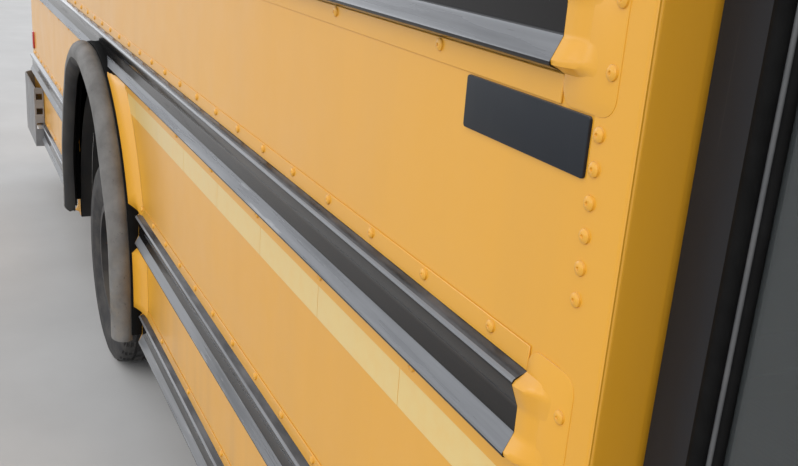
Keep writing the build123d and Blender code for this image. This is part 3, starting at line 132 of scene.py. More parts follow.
def fill(node, values):
    # Sets a shader node's inputs by name
    for name, value in values.items():
        node.inputs[name].default_value = value


class Finish:
    """A finish: one shader, with patterns that lie in the object's own space"""

    def __init__(self, name, colour, roughness, metallic=0.0, specular=0.5):
        self.material = bpy.data.materials.new(name)
        self.material.use_nodes = True
        self.tree = self.material.node_tree
        self.shader = self.tree.nodes["Principled BSDF"]
        self.colour = (*colour, 1)
        fill(self.shader, {"Base Color": self.colour, "Roughness": roughness})
        fill(self.shader, {"Metallic": metallic, "Specular IOR Level": specular})
        self.place = self.node("ShaderNodeTexCoord").outputs["Object"]
        self.height = self.split(self.place)
        normal = self.node("ShaderNodeNewGeometry").outputs["Normal"]
        self.facing_up = self.ramp(self.split(normal), 0.35, 0.95)

    def node(self, kind, values=None, vector=None):
        made = self.tree.nodes.new(kind)
        fill(made, values or {})
        if vector:
            self.link(vector, made.inputs["Vector"])
        return made

    def link(self, source, target):
        self.tree.links.new(source, target)

    def split(self, vector):
        return self.node("ShaderNodeSeparateXYZ", vector=vector).outputs["Z"]

    def put(self, value, socket):
        if isinstance(value, bpy.types.NodeSocket):
            self.link(value, socket)
        else:
            socket.default_value = value

    def coat(self, weight, roughness):
        fill(self.shader, {"Coat Weight": weight, "Coat Roughness": roughness})

    def speckle(self, scale, detail=4.0, stretch=(1, 1, 1), rough=0.55):
        stretched = self.node("ShaderNodeMapping", {"Scale": stretch}, self.place).outputs["Vector"]
        values = {"Scale": scale, "Detail": detail, "Roughness": rough}
        return self.node("ShaderNodeTexNoise", values, stretched).outputs["Fac"]

    def cells(self, scale):
        return self.node("ShaderNodeTexVoronoi", {"Scale": scale}, self.place).outputs["Distance"]

    def ribs(self, scale):
        wave = self.node("ShaderNodeTexWave", {"Scale": scale}, self.place)
        wave.bands_direction = "Y"
        return wave.outputs["Fac"]

    def ramp(self, value, start, end, low=0.0, high=1.0):
        values = {"From Min": start, "From Max": end, "To Min": low, "To Max": high}
        span = self.node("ShaderNodeMapRange", values)
        self.put(value, span.inputs["Value"])
        return span.outputs["Result"]

    def sum(self, kind, first, second):
        maths = self.node("ShaderNodeMath")
        maths.operation = kind
        self.put(first, maths.inputs[0])
        self.put(second, maths.inputs[1])
        return maths.outputs[0]

    def times(self, first, second):
        return self.sum("MULTIPLY", first, second)

    def blend(self, share, under, over):
        mix = self.node("ShaderNodeMix")
        mix.data_type = "RGBA"
        self.put(share, mix.inputs[0])
        for value, socket in ((under, mix.inputs[6]), (over, mix.inputs[7])):
            self.put(value if isinstance(value, bpy.types.NodeSocket) else (*value[:3], 1), socket)
        return mix.outputs[2]

    def paint(self, colour):
        self.link(colour, self.shader.inputs["Base Color"])

    def rough(self, value):
        self.link(value, self.shader.inputs["Roughness"])

    def bump(self, *layers):
        # Layers of (height, strength, depth in metres), one over another
        below = None
        for height, strength, depth in layers:
            step = self.node("ShaderNodeBump", {"Strength": strength, "Distance": depth})
            self.link(height, step.inputs["Height"])
            if below:
                self.link(below, step.inputs["Normal"])
            below = step.outputs["Normal"]
        self.link(below, self.shader.inputs["Normal"])


def yellow_enamel():
    finish = Finish("yellow_enamel", (0.79, 0.375, 0.018), 0.42)
    finish.coat(0.60, 0.16)
    fade = finish.ramp(finish.speckle(1.3, 3), 0.35, 0.7, 0, 0.35)
    colour = finish.blend(fade, finish.colour, (0.81, 0.410, 0.038))
    streak = finish.ramp(finish.speckle(9, 5, (1, 1, 0.06)), 0.45, 0.75)
    grime = finish.times(streak, finish.ramp(finish.height, 0.75, 0.30, 0.06, 0.5))
    colour = finish.blend(grime, colour, (0.32, 0.20, 0.08))
    dust = finish.times(finish.facing_up, finish.ramp(finish.speckle(14, 6), 0.3, 0.7, 0.05, 0.35))
    finish.paint(finish.blend(dust, colour, (0.55, 0.45, 0.30)))
    finish.rough(finish.ramp(finish.speckle(5, 5), 0.3, 0.7, 0.36, 0.50))
    finish.bump((finish.speckle(420, 2), 0.06, 0.0002), (finish.speckle(2.2, 2), 0.25, 0.004))
    return finish.material


def faded_tape():
    finish = Finish("faded_tape", (0.80, 0.575, 0.20), 0.36)
    finish.coat(0.6, 0.18)
    worn = finish.ramp(finish.speckle(38, 6), 0.42, 0.72, 0, 0.35)
    colour = finish.blend(worn, finish.colour, (0.82, 0.50, 0.13))
    faded = finish.ramp(finish.speckle(7, 4, (1, 1, 0.2)), 0.5, 0.8, 0, 0.4)
    finish.paint(finish.blend(faded, colour, (0.74, 0.57, 0.27)))
    finish.bump((finish.cells(320), 0.10, 0.0003), (finish.speckle(60, 3), 0.2, 0.0006))
    return finish.material


def rail_enamel():
    finish = Finish("rail_enamel", (0.009, 0.008, 0.008), 0.16, specular=0.24)
    finish.coat(0.1, 0.05)
    scuff = finish.ramp(finish.speckle(26, 7, (0.12, 1, 1)), 0.55, 0.75)
    # Lighter blue-silver on the top lip: dust, and a painted highlight where the lip catches the sky
    lip_dust_and_highlight = finish.times(finish.facing_up, finish.facing_up)
    dust = finish.times(lip_dust_and_highlight, finish.ramp(finish.speckle(30, 5, (0.3, 1, 1)), 0.3, 0.7, 0.03, 0.20))
    colour = finish.blend(finish.times(scuff, 0.12), finish.colour, (0.17, 0.165, 0.16))
    finish.paint(finish.blend(dust, colour, (0.56, 0.57, 0.60)))
    finish.rough(finish.ramp(finish.sum("ADD", scuff, dust), 0, 1.4, 0.10, 0.42))
    drawn = finish.speckle(40, 3, (0.006, 1, 1))
    finish.bump((finish.speckle(7, 3, (0.3, 1, 1)), 0.25, 0.0016), (drawn, 0.25, 0.0008))
    return finish.material


def rail_sheen_and_wear():
    # The same enamel where it faces up, lighter and blue-grey: a painted sky reflection on the upward slopes,
    # streaked with rubbing and chalky wear
    finish = Finish("rail_sheen_and_wear", (0.200, 0.207, 0.220), 0.30)
    finish.coat(0.5, 0.10)
    streak = finish.ramp(finish.speckle(30, 6, (0.05, 1, 1)), 0.40, 0.68)
    colour = finish.blend(streak, finish.colour, (0.080, 0.084, 0.092))
    bare = finish.ramp(finish.speckle(55, 7, (0.10, 1, 1)), 0.62, 0.70, 0, 0.8)
    finish.paint(finish.blend(bare, colour, (0.34, 0.345, 0.355)))
    finish.rough(finish.ramp(streak, 0, 1, 0.36, 0.20))
    finish.bump((finish.speckle(7, 3, (0.3, 1, 1)), 0.25, 0.0016))
    return finish.material


def satin_black():
    finish = Finish("satin_black", (0.009, 0.012, 0.017), 0.46, specular=0.35)
    wipe = finish.speckle(16, 6, (1, 1, 0.12))
    scratch = finish.ramp(finish.speckle(90, 3, (1, 1, 0.02)), 0.66, 0.74, 0, 0.5)
    colour = finish.blend(finish.ramp(wipe, 0.4, 0.75, 0, 0.45), finish.colour, (0.018, 0.022, 0.029))
    colour = finish.blend(finish.times(finish.facing_up, 0.5), colour, (0.19, 0.18, 0.17))
    finish.paint(finish.blend(scratch, colour, (0.060, 0.060, 0.062)))
    finish.rough(finish.ramp(wipe, 0.3, 0.75, 0.40, 0.60))
    finish.bump((finish.speckle(700, 2), 0.15, 0.0002))
    return finish.material


def seal_rubber():
    finish = Finish("seal_rubber", (0.004, 0.004, 0.004), 0.80, specular=0.12)
    grey = finish.ramp(finish.speckle(40, 5), 0.4, 0.75, 0, 0.5)
    finish.paint(finish.blend(grey, finish.colour, (0.010, 0.010, 0.010)))
    finish.bump((finish.speckle(300, 3), 0.25, 0.0003))
    return finish.material


def tinted_glass(name, tint, clear):
    finish = Finish(name, tint, 0.03)
    fill(finish.shader, {"Transmission Weight": clear, "IOR": 1.45})
    finish.rough(finish.ramp(finish.speckle(9, 6, (1, 1, 0.3)), 0.5, 0.85, 0.02, 0.12))
    return finish.material


def weathered_rubber():
    finish = Finish("weathered_rubber", (0.105, 0.100, 0.094), 0.58, specular=0.40)
    chalk = finish.ramp(finish.speckle(11, 7), 0.35, 0.7, 0, 0.9)
    colour = finish.blend(chalk, finish.colour, (0.205, 0.198, 0.188))
    mud = finish.times(finish.ramp(finish.height, 0.8, 0.3), finish.ramp(finish.speckle(24, 6), 0.4, 0.7))
    colour = finish.blend(finish.times(mud, 0.6), colour, (0.26, 0.21, 0.15))
    cracks = finish.ramp(finish.speckle(60, 9, (1, 1, 1), 0.8), 0.60, 0.66, 0, 0.7)
    finish.paint(finish.blend(cracks, colour, (0.03, 0.027, 0.024)))
    finish.bump((finish.speckle(120, 8, (1, 1, 1), 0.7), 0.5, 0.0015), (finish.speckle(14, 4), 0.45, 0.006))
    return finish.material


def tyre_rubber():
    finish = Finish("tyre_rubber", (0.026, 0.025, 0.026), 0.74, specular=0.4)
    road = finish.ramp(finish.speckle(17, 7), 0.4, 0.72, 0, 0.7)
    colour = finish.blend(road, finish.colour, (0.075, 0.068, 0.060))
    dust = finish.ramp(finish.speckle(70, 5), 0.55, 0.8, 0, 0.4)
    finish.paint(finish.blend(dust, colour, (0.12, 0.105, 0.085)))
    finish.bump((finish.speckle(260, 5), 0.35, 0.0006), (finish.speckle(20, 3), 0.25, 0.002))
    return finish.material


def dull_paint(name, colour, dirt, roughness, scale=12, rust=0.0):
    # Chassis and wheel paints: dirt in patches, and rust where it is wanted
    finish = Finish(name, colour, roughness)
    patches = finish.ramp(finish.speckle(scale, 7), 0.38, 0.72, 0, 0.8)
    mix = finish.blend(patches, finish.colour, dirt)
    mix = finish.blend(finish.times(finish.facing_up, 0.5), mix, (0.20, 0.165, 0.125))
    if rust:
        spots = finish.ramp(finish.speckle(scale * 3, 8, (1, 1, 1), 0.7), 0.60, 0.68, 0, rust)
        mix = finish.blend(spots, mix, (0.17, 0.065, 0.028))
    finish.paint(mix)
    duller = min(0.95, roughness + 0.15)
    finish.rough(finish.ramp(finish.speckle(scale * 2, 5), 0.3, 0.7, roughness - 0.1, duller))
    finish.bump((finish.speckle(scale * 22, 5), 0.25, 0.0006))
    return finish.material


def bench_vinyl():
    finish = Finish("bench_vinyl", (0.050, 0.036, 0.030), 0.48)
    worn = finish.ramp(finish.speckle(7, 5), 0.4, 0.75, 0, 0.6)
    finish.paint(finish.blend(worn, finish.colour, (0.095, 0.070, 0.058)))
    finish.rough(finish.ramp(finish.speckle(22, 4), 0.3, 0.7, 0.38, 0.58))
    finish.bump((finish.cells(420), 0.3, 0.0005), (finish.speckle(16, 4), 0.4, 0.003))
    return finish.material


def ribbed_floor():
    finish = Finish("ribbed_floor", (0.035, 0.035, 0.036), 0.6)
    worn = finish.ramp(finish.speckle(5, 6, (0.4, 1, 1)), 0.4, 0.75, 0, 0.7)
    finish.paint(finish.blend(worn, finish.colour, (0.11, 0.10, 0.088)))
    finish.bump((finish.ribs(22), 0.5, 0.003), (finish.speckle(120, 4), 0.2, 0.001))
    return finish.material


def darker(colour, share):
    return tuple(share * part for part in colour)


def lamp_lens(name, colour, clear, ribs):
    finish = Finish(name, colour, 0.12)
    fill(finish.shader, {"Transmission Weight": clear})
    finish.coat(0.6, 0.05)
    stain = finish.ramp(finish.speckle(18, 5), 0.45, 0.8, 0, 0.35)
    finish.paint(finish.blend(stain, finish.colour, darker(colour, 0.75)))
    finish.bump((finish.ribs(ribs), 0.5, 0.002))
    return finish.material


def moulded_plastic():
    finish = Finish("moulded_plastic", (0.028, 0.028, 0.031), 0.58)
    faded = finish.ramp(finish.speckle(9, 5), 0.4, 0.8, 0, 0.5)
    finish.paint(finish.blend(faded, finish.colour, (0.075, 0.073, 0.071)))
    finish.bump((finish.speckle(600, 3), 0.35, 0.0004))
    return finish.material


def bright_metal(name, colour, roughness):
    finish = Finish(name, colour, roughness, metallic=1.0)
    dull = finish.ramp(finish.speckle(30, 6), 0.5, 0.8, 0, 0.5)
    finish.paint(finish.blend(dull, finish.colour, darker(colour, 0.55)))
    smoother = max(0.02, roughness - 0.08)
    finish.rough(finish.ramp(finish.speckle(50, 5), 0.3, 0.75, smoother, roughness + 0.15))
    return finish.material


def pale_concrete():
    finish = Finish("pale_concrete", (0.540, 0.534, 0.524), 0.85, specular=0.2)
    patches = finish.ramp(finish.speckle(2.2, 8), 0.35, 0.7)
    finish.paint(finish.blend(patches, (0.518, 0.512, 0.503), (0.562, 0.556, 0.546)))
    return finish.material


yellow = yellow_enamel()
tape = faded_tape()
rail_black = rail_enamel()
# Lighter copy of the rail enamel for its upward slopes: painted sky reflection, with wear
rail_sheen_grey = rail_sheen_and_wear()
door_black = satin_black()
rubber = seal_rubber()
cabin_glass = tinted_glass("cabin_glass", (0.27, 0.30, 0.305), 0.86)
fender_grey = weathered_rubber()
tread_black = tyre_rubber()
wheel_black = dull_paint("wheel_black", (0.022, 0.022, 0.024), (0.075, 0.065, 0.055), 0.45, rust=0.6)
chassis_black = dull_paint("chassis_black", (0.018, 0.018, 0.018), (0.065, 0.056, 0.045), 0.62, rust=0.7)
undercoat = dull_paint("undercoat", (0.016, 0.015, 0.015), (0.050, 0.043, 0.036), 0.80)
bumper_grey = dull_paint("bumper_grey", (0.19, 0.19, 0.195), (0.30, 0.29, 0.28), 0.50, 9, 0.55)
vinyl = bench_vinyl()
seat_tube = dull_paint("seat_tube", (0.030, 0.030, 0.033), (0.07, 0.07, 0.07), 0.42)
floor_ribs = ribbed_floor()
clear_lens = lamp_lens("clear_lens", (0.80, 0.82, 0.83), 0.45, 60)
red_lens = lamp_lens("red_lens", (0.50, 0.012, 0.010), 0.15, 45)
amber_lens = lamp_lens("amber_lens", (0.85, 0.26, 0.010), 0.15, 45)
grained_plastic = moulded_plastic()
mirror_silver = bright_metal("mirror_silver", (0.80, 0.81, 0.82), 0.04)
zinc = bright_metal("zinc", (0.46, 0.46, 0.47), 0.34)
trim_grey = dull_paint("trim_grey", (0.085, 0.087, 0.090), (0.12, 0.12, 0.12), 0.42, 20)
sign_red = dull_paint("sign_red", (0.55, 0.020, 0.018), (0.48, 0.05, 0.045), 0.34, 20)
white_tape = dull_paint("white_tape", (0.72, 0.72, 0.70), (0.60, 0.59, 0.56), 0.40, 20)

# Which finish each slot's CAD nodes wear
node_finish = {
    "yellow_paint": yellow, "black_paint": door_black, "grey_steel": bumper_grey,
    "chassis_black": chassis_black, "wheel_black": wheel_black, "tyre": tread_black,
    "fender_rubber": fender_grey, "glass": cabin_glass, "lamp_clear": clear_lens, "lamp_red": red_lens,
    "lamp_amber": amber_lens, "inner_plastic": grained_plastic, "floor_rubber": floor_ribs,
    "wheelhouse_black": undercoat, "seat_vinyl": vinyl, "seat_steel": seat_tube,
}
own_finish = {"rub_rails": rail_black, "stop_arm": sign_red, "mud_flaps": rubber}
for row in frame["record"]["subparts"]:
    mesh = cad[row["node"]].data
    mesh.materials.clear()
    mesh.materials.append(own_finish.get(row["node"], node_finish[row["material_slot"]]))


# Tools for making pieces


def as_mesh(name, bm):
    mesh = bpy.data.meshes.new(name)
    bm.to_mesh(mesh)
    bm.free()
    return mesh


def add_object(name, data):
    made = bpy.data.objects.new(name, data)
    scene.collection.objects.link(made)
    return made


def piece(name, bm, finish, body="root", crease=38, recalc=True):
    # Makes a finished mesh into a piece that rides on a body
    if recalc:
        bmesh.ops.recalc_face_normals(bm, faces=bm.faces)
    for face in bm.faces:
        face.smooth = True
    mesh = as_mesh(name, bm)
    mesh.set_sharp_from_angle(angle=math.radians(crease))
    mesh.materials.append(finish)
    made = add_object(name, mesh)
    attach(made, body)
    return made


def only(geometry, kind):
    return [item for item in geometry if isinstance(item, kind)]


def verts_of(geometry):
    return only(geometry, bmesh.types.BMVert)


def edges_of(geometry):
    return only(geometry, bmesh.types.BMEdge)


def ease_edges(bm, edges, ease, segments):
    bmesh.ops.bevel(
        bm, geom=edges, offset=ease, offset_type="OFFSET", segments=segments, profile=0.5,
        affect="EDGES", material=-1,
    )


def slab(bm, low, high, ease=0.0, segments=2):
    # A block between two corners, with eased edges
    low, high = Vector(low), Vector(high)
    verts = bmesh.ops.create_cube(bm, size=1)["verts"]
    bmesh.ops.scale(bm, vec=high - low, verts=verts)
    bmesh.ops.translate(bm, vec=(low + high) / 2, verts=verts)
    if ease:
        ease_edges(bm, list({edge for vert in verts for edge in vert.link_edges}), ease, segments)


def facing(spot, normal):
    # Stands a shape made along +Z on a spot, looking along a normal
    return Matrix.Translation(spot) @ Vector(normal).to_track_quat("Z", "Y").to_matrix().to_4x4()


def stamp(bm, shape, places):
    # Copies a small mesh to each place
    for place in places:
        known = set(bm.verts)
        bm.from_mesh(shape)
        bmesh.ops.transform(bm, matrix=place, verts=[vert for vert in bm.verts if vert not in known])


def absorb(bm, other):
    # Adds one mesh in the making to another
    mesh = as_mesh("part", other)
    bm.from_mesh(mesh)
    bpy.data.meshes.remove(mesh)


def outline_edges(bm, verts, closed):
    return [bm.edges.new(pair) for pair in zip(verts, verts[1:] + (verts[:1] if closed else []))]


def turned(outline, steps):
    # A small turned shape about Z from (radius, height) points, the last one on the axis
    bm = bmesh.new()
    verts = [bm.verts.new((radius, 0, height)) for radius, height in outline]
    bmesh.ops.spin(
        bm, geom=verts + outline_edges(bm, verts, False), cent=(0, 0, 0), axis=(0, 0, 1), dvec=(0, 0, 0),
        angle=2 * math.pi, steps=steps, use_merge=True, use_duplicate=False,
    )
    bmesh.ops.remove_doubles(bm, verts=bm.verts, dist=1e-6)
    bmesh.ops.recalc_face_normals(bm, faces=bm.faces)
    return as_mesh("turned", bm)


def tube(bm, points, radius, closed=False, sides_round=3, smooth=False):
    # A round bar, or a bead, along a line of points
    line = bpy.data.curves.new("line", "CURVE")
    line.dimensions = "3D"
    line.bevel_depth = radius
    line.bevel_resolution = sides_round
    line.use_fill_caps = not closed
    run = line.splines.new("NURBS" if smooth else "POLY")
    run.points.add(len(points) - 1)
    for point, spot in zip(run.points, points):
        point.co = (*spot, 1)
    if smooth:
        run.order_u = 3
        run.use_endpoint_u = True
        run.resolution_u = 6
    run.use_cyclic_u = closed
    holder = bpy.data.objects.new("line", line)
    mesh = bpy.data.meshes.new_from_object(holder)
    bm.from_mesh(mesh)
    bpy.data.objects.remove(holder)
    bpy.data.curves.remove(line)
    bpy.data.meshes.remove(mesh)


def rounded(width, height, corner, steps=5):
    # Points round a rectangle with round corners
    points = []
    for turn, (across, up) in enumerate(((1, 1), (-1, 1), (-1, -1), (1, -1))):
        for step in range(steps + 1):
            angle = math.pi / 2 * (turn + step / steps)
            u = across * (width / 2 - corner) + corner * math.cos(angle)
            v = up * (height / 2 - corner) + corner * math.sin(angle)
            points.append((u, v))
    return points


def draw_out(bm, points, shift):
    # Draws a closed outline out into a solid
    face = bm.faces.new([bm.verts.new(point) for point in points])
    grown = bmesh.ops.extrude_face_region(bm, geom=[face])["geom"]
    bmesh.ops.translate(bm, vec=shift, verts=verts_of(grown))
    return grown


def draw_on(bm, edges, shift, times=1):
    # Carries a row of edges on in equal steps, and gives the last edges and vertices
    for _ in range(times):
        grown = bmesh.ops.extrude_edge_only(bm, edges=edges)["geom"]
        edges = edges_of(grown)
        bmesh.ops.translate(bm, vec=shift, verts=verts_of(grown))
    return edges, verts_of(grown)


def plate(bm, spot, normal, width, height, corner, thick, ease):
    # A flat plate with round corners, standing on a spot and looking along a normal
    across = Vector((0, 0, 1)).cross(Vector(normal)).normalized()
    up = Vector(normal).cross(across).normalized()
    points = [Vector(spot) + across * u + up * v for u, v in rounded(width, height, corner)]
    grown = draw_out(bm, points, Vector(normal).normalized() * thick)
    if ease:
        ease_edges(bm, edges_of(grown), ease, 2)


def eased(share):
    share = min(1, max(0, share))
    return share * share * (3 - 2 * share)


# Pop rivets with a dimple where the mandrel broke off
rivet = turned(
    ((0.0078, 0), (0.0073, 0.0022), (0.0048, 0.0040), (0.0022, 0.0041), (0.0015, 0.0026), (0, 0.0026)), 10
)
small_rivet = turned(((0.0062, 0), (0.0050, 0.0024), (0, 0.0033)), 8)


# Rub rails and the wall's trim


def fender_reach(z):
    # Half the length between the fender's legs at a height
    return math.sqrt(max(0, fender_root**2 - max(0, z - fender_z) ** 2))


def rail_runs(side):
    # Each length of rail: root height, low edge, both ends, and which end meets a fender
    front = front_ends[side] - rail_end - rail_taper - rail_flat
    for name, root_z, *_ in rails:
        low_z = max(root_z - rail_height - flange_height, skirt_z)
        rear = bumper_end_x + 0.006 if name == "skirt" else rear_x + 0.070
        if root_z - rail_height > fender_z + fender_root - 0.060:
            yield root_z, low_z, rear, front, ""
        else:
            away = fender_reach(root_z - rail_height / 2) + fender_tab
            yield root_z, low_z, rear, rear_axle.x - away, "front"
            yield root_z, low_z, rear_axle.x + away, front, "rear"


def section_reach(depth):
    # How far the rail stands off the wall at a depth below its root
    for (out, top), (next_out, bottom) in zip(rail_section, rail_section[1:]):
        if bottom <= -depth <= top:
            share = (top + depth) / (top - bottom)
            return out + (next_out - out) * share
    return 0


def pressed_end(bm, side, root_z, start_x, heading, length):
    # The rail's pressing drawn down smoothly to a flat end, with a slight crease across it
    crease_height = 0.0016
    for vert in bmesh.ops.create_grid(bm, x_segments=12, y_segments=24, size=1)["verts"]:
        along, depth = (vert.co.x + 1) / 2, (1 - vert.co.y) / 2 * rail_height
        pinch = 1 - eased(along)
        crease = crease_height * math.sin(9 * along) * pinch * (1 - pinch) * 4
        reach = max(flange_thick * 0.6, section_reach(depth) * pinch + crease)
        vert.co = Vector((start_x + heading * along * length, side * (half_width + reach), root_z - depth))


def wall_plate(bm, side, low_x, high_x, low_z, high_z, thick=flange_thick, ease=0.0007):
    near, far = sorted((side * half_width, side * (half_width + thick)))
    slab(bm, (low_x, near, low_z), (high_x, far, high_z), ease, 1)


# The black rub rails: one rolled section, cut to each length, with a lighter blue-grey finish where it faces
# up: painted sky reflection, with some wear
bm = bmesh.new()
for side, _ in sides:
    for root_z, _, start_x, end_x, _ in rail_runs(side):
        points = [(start_x, side * (half_width + out), root_z + drop) for out, drop in rail_rolled]
        draw_out(bm, points, (end_x - start_x, 0, 0))
bmesh.ops.recalc_face_normals(bm, faces=bm.faces)
# Upward-sloping faces take the lighter finish, a painted sky reflection with wear
for face in bm.faces:
    if 0.35 < face.normal.z < 0.90:
        face.material_index = 1
rolled = piece("rub_rails_rolled", bm, rail_black, crease=50, recalc=False)
rolled.data.materials.append(rail_sheen_grey)
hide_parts("rub_rails")

# The yellow pressings that carry them, with flanges above and below and drawn-down ends
end_corner = 0.019
end_ease = 0.0007
bm = bmesh.new()
for side, _ in sides:
    for root_z, low_z, start_x, end_x, meets in rail_runs(side):
        front_x = end_x + fender_tab if meets == "front" else end_x
        back_x = start_x - fender_tab if meets == "rear" else start_x
        wall_plate(bm, side, back_x, front_x, root_z, root_z + flange_height)
        wall_plate(bm, side, back_x, front_x, low_z, root_z - rail_height)
        if meets == "front":
            pressed_end(bm, side, root_z, end_x, 1, fender_tab)
        else:
            length = rail_taper + rail_flat
            high_z = root_z + flange_height
            spot = (end_x + length / 2, side * half_width, (high_z + low_z) / 2)
            plate(bm, spot, (0, side, 0), length, high_z - low_z, end_corner, flange_thick, end_ease)
            pressed_end(bm, side, root_z, end_x, 1, rail_taper + 0.004)
        if meets == "rear":
            pressed_end(bm, side, root_z, start_x, -1, fender_tab)
pressings = piece("rail_pressings_drawn", bm, yellow)
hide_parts("rail_pressings")

# Rivets along the rails, in the pillars and on the pressed ends
skin = 0.0012
pillar_inset = 0.0513


def wall_places(side):
    normal = (0, side, 0)
    front = front_ends[side]
    spots = []
    for name, root_z, first_high, pitch_high, first_low, pitch_low in rails:
        low_z = root_z - rail_height - 0.0085
        for z, first, pitch in ((root_z + 0.018, first_high, pitch_high), (low_z, first_low, pitch_low)):
            if z >= skirt_z + 0.02:
                count = int((front - first - rear_x - 0.12) / pitch) + 1
                spots += [(front - first - pitch * i, z) for i in range(count)]
        spots += [(front - 0.050, root_z - 0.019)]
        if name == "sill":
            spots += [(front - 0.044, root_z - 0.092), (front - 0.043, root_z - 0.030)]
    spots = [
        (x, z) for x, z in spots
        if z > fender_z + fender_root - 0.06 or abs(x - rear_axle.x) > fender_reach(z) + 0.030
    ]
    places = [facing((x, side * (half_width + flange_thick), z), normal) for x, z in spots]
    heights = [1.4916 - 0.0316 * i for i in range(6)] + [1.085 - 0.060 * i for i in range(4)]
    pillar_spots = [(front - pillar_inset, side * (half_width + skin), z) for z in heights]
    return places + [facing(spot, normal) for spot in pillar_spots]


for side, word in sides:
    bm = bmesh.new()
    stamp(bm, rivet, wall_places(side))
    piece("side_rivets_" + word, bm, yellow)

# The corner skin that laps the side panels and folds round into the door opening
fold = 0.007
lap = 0.0615
reach_in = 0.058
quarter = [math.pi / 2 * step / 6 for step in range(7)]
skin_tops = {-1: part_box("entry_leaf_rear")[1].z, 1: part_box("driver_door")[1].z}
for side, word in sides:
    front = front_ends[side]
    centre = Vector((front + skin - fold, half_width + skin - fold))
    outer = [centre + fold * Vector((math.sin(turn), math.cos(turn))) for turn in quarter]
    inner = [centre + (fold - skin) * Vector((math.sin(turn), math.cos(turn))) for turn in reversed(quarter)]
    outline = [(front - lap, half_width), (front - lap, half_width + skin), *outer]
    outline += [(front + skin, half_width - reach_in), (front, half_width - reach_in), *inner]
    bm = bmesh.new()
    draw_out(bm, [(x, side * y, skirt_z) for x, y in outline], (0, 0, skin_tops[side] - skirt_z))
    piece("corner_skin_" + word, bm, yellow)

# Pale reflective strip between the seat and floor rails, in lengths with hairline joints
strip_low = 1.040
strip_high = 1.098
strip_length = 0.304
strip_rear_x = -0.660
strip_joint = 0.0008
for side, word in sides:
    bm = bmesh.new()
    x = front_ends[side] - 0.095
    while x > strip_rear_x + 0.05:
        end = max(x - strip_length, strip_rear_x)
        wall_plate(bm, side, end + strip_joint, x - strip_joint, strip_low, strip_high, 0.0006, 0)
        x = end
    piece("reflective_strip_" + word, bm, tape)

# Blank name plate on the right side
bm = bmesh.new()
plate(bm, (jamb_x - 0.1775, -half_width, 1.476), (0, -1, 0), 0.225, 0.058, 0.004, 0.0035, 0.0012)
piece("name_plate", bm, door_black)

# Red side reflectors near the rear corners
for side, word in sides:
    bm = bmesh.new()
    plate(bm, (rear_x + 0.135, side * half_width, 0.850), (0, side, 0), 0.062, 0.094, 0.012, 0.009, 0.003)
    piece("side_reflector_" + word, bm, red_lens)


# Rear fenders: a rolled rubber arch on a flared panel, drawn down behind the wheel to a torn end


def half_turn(bm, geometry, middle_z, steps):
    spun = bmesh.ops.spin(
        bm, geom=geometry, cent=(rear_axle.x, 0, middle_z), axis=(0, 1, 0), dvec=(0, 0, 0),
        angle=-math.pi, steps=steps, use_merge=False, use_duplicate=False,
    )
    return edges_of(spun["geom_last"])


def arch(side, section, low_z, rear_low_z, steps):
    # Carries a section up the front leg, round the crown and down the rear leg
    bm = bmesh.new()
    start = [bm.verts.new((rear_axle.x + r, side * (half_width + out), low_z)) for r, out in section]
    edges, verts = draw_on(bm, outline_edges(bm, start, True), (0, 0, (fender_z - low_z) / 4), 4)
    edges = half_turn(bm, verts + edges, fender_z, steps)
    return bm, draw_on(bm, edges, (0, 0, (rear_low_z - fender_z) / 6), 6)[1]


def close_ends(bm):
    bmesh.ops.holes_fill(bm, edges=[edge for edge in bm.edges if edge.is_boundary], sides=0)


def set_back(bm, side):
    # The rear leg stands nearer the wall than the front one
    for vert in bm.verts:
        vert.co.y -= side * rear_set_back * eased((rear_axle.x - vert.co.x) / fender_root)


def hollow_side(face, side):
    # Whether a face of the fender looks into the arch or into the roll
    spot = face.calc_center_median()
    along = Vector((spot.x - rear_axle.x, max(0, spot.z - fender_z)))
    away = along.length - fender_hollow[0]
    out = spot.y * side - half_width - fender_hollow[1]
    outward = along.normalized().dot(Vector((face.normal.x, face.normal.z)))
    return outward < -0.3 or outward * away + face.normal.y * side * out < 0


def make_fender(side, word):
    bm, tail = arch(side, fender_section, fender_low_z, fender_rear_z, 72)
    for vert in tail:
        vert.co.z += 0.030 * noise.noise(vert.co * 34) - 0.004
    close_ends(bm)
    for vert in bm.verts:
        if vert.co.y * side - half_width > 0.05:
            vert.co.y += side * 0.004 * noise.noise(vert.co * 5.5)
    set_back(bm, side)
    bmesh.ops.recalc_face_normals(bm, faces=bm.faces)
    for face in bm.faces:
        if hollow_side(face, side):
            face.material_index = 1
    bmesh.ops.triangulate(bm, faces=[face for face in bm.faces if len(face.verts) > 4])
    made = piece("fender_" + word, bm, fender_grey, crease=60, recalc=False)
    made.data.materials.append(undercoat)
    return made


def make_welt(side, word):
    # Black welt that carries the fender's root off the wall
    bm = arch(side, welt, fender_low_z + 0.02, fender_rear_z + 0.02, 60)[0]
    close_ends(bm)
    set_back(bm, side)
    piece("fender_bead_" + word, bm, rubber)


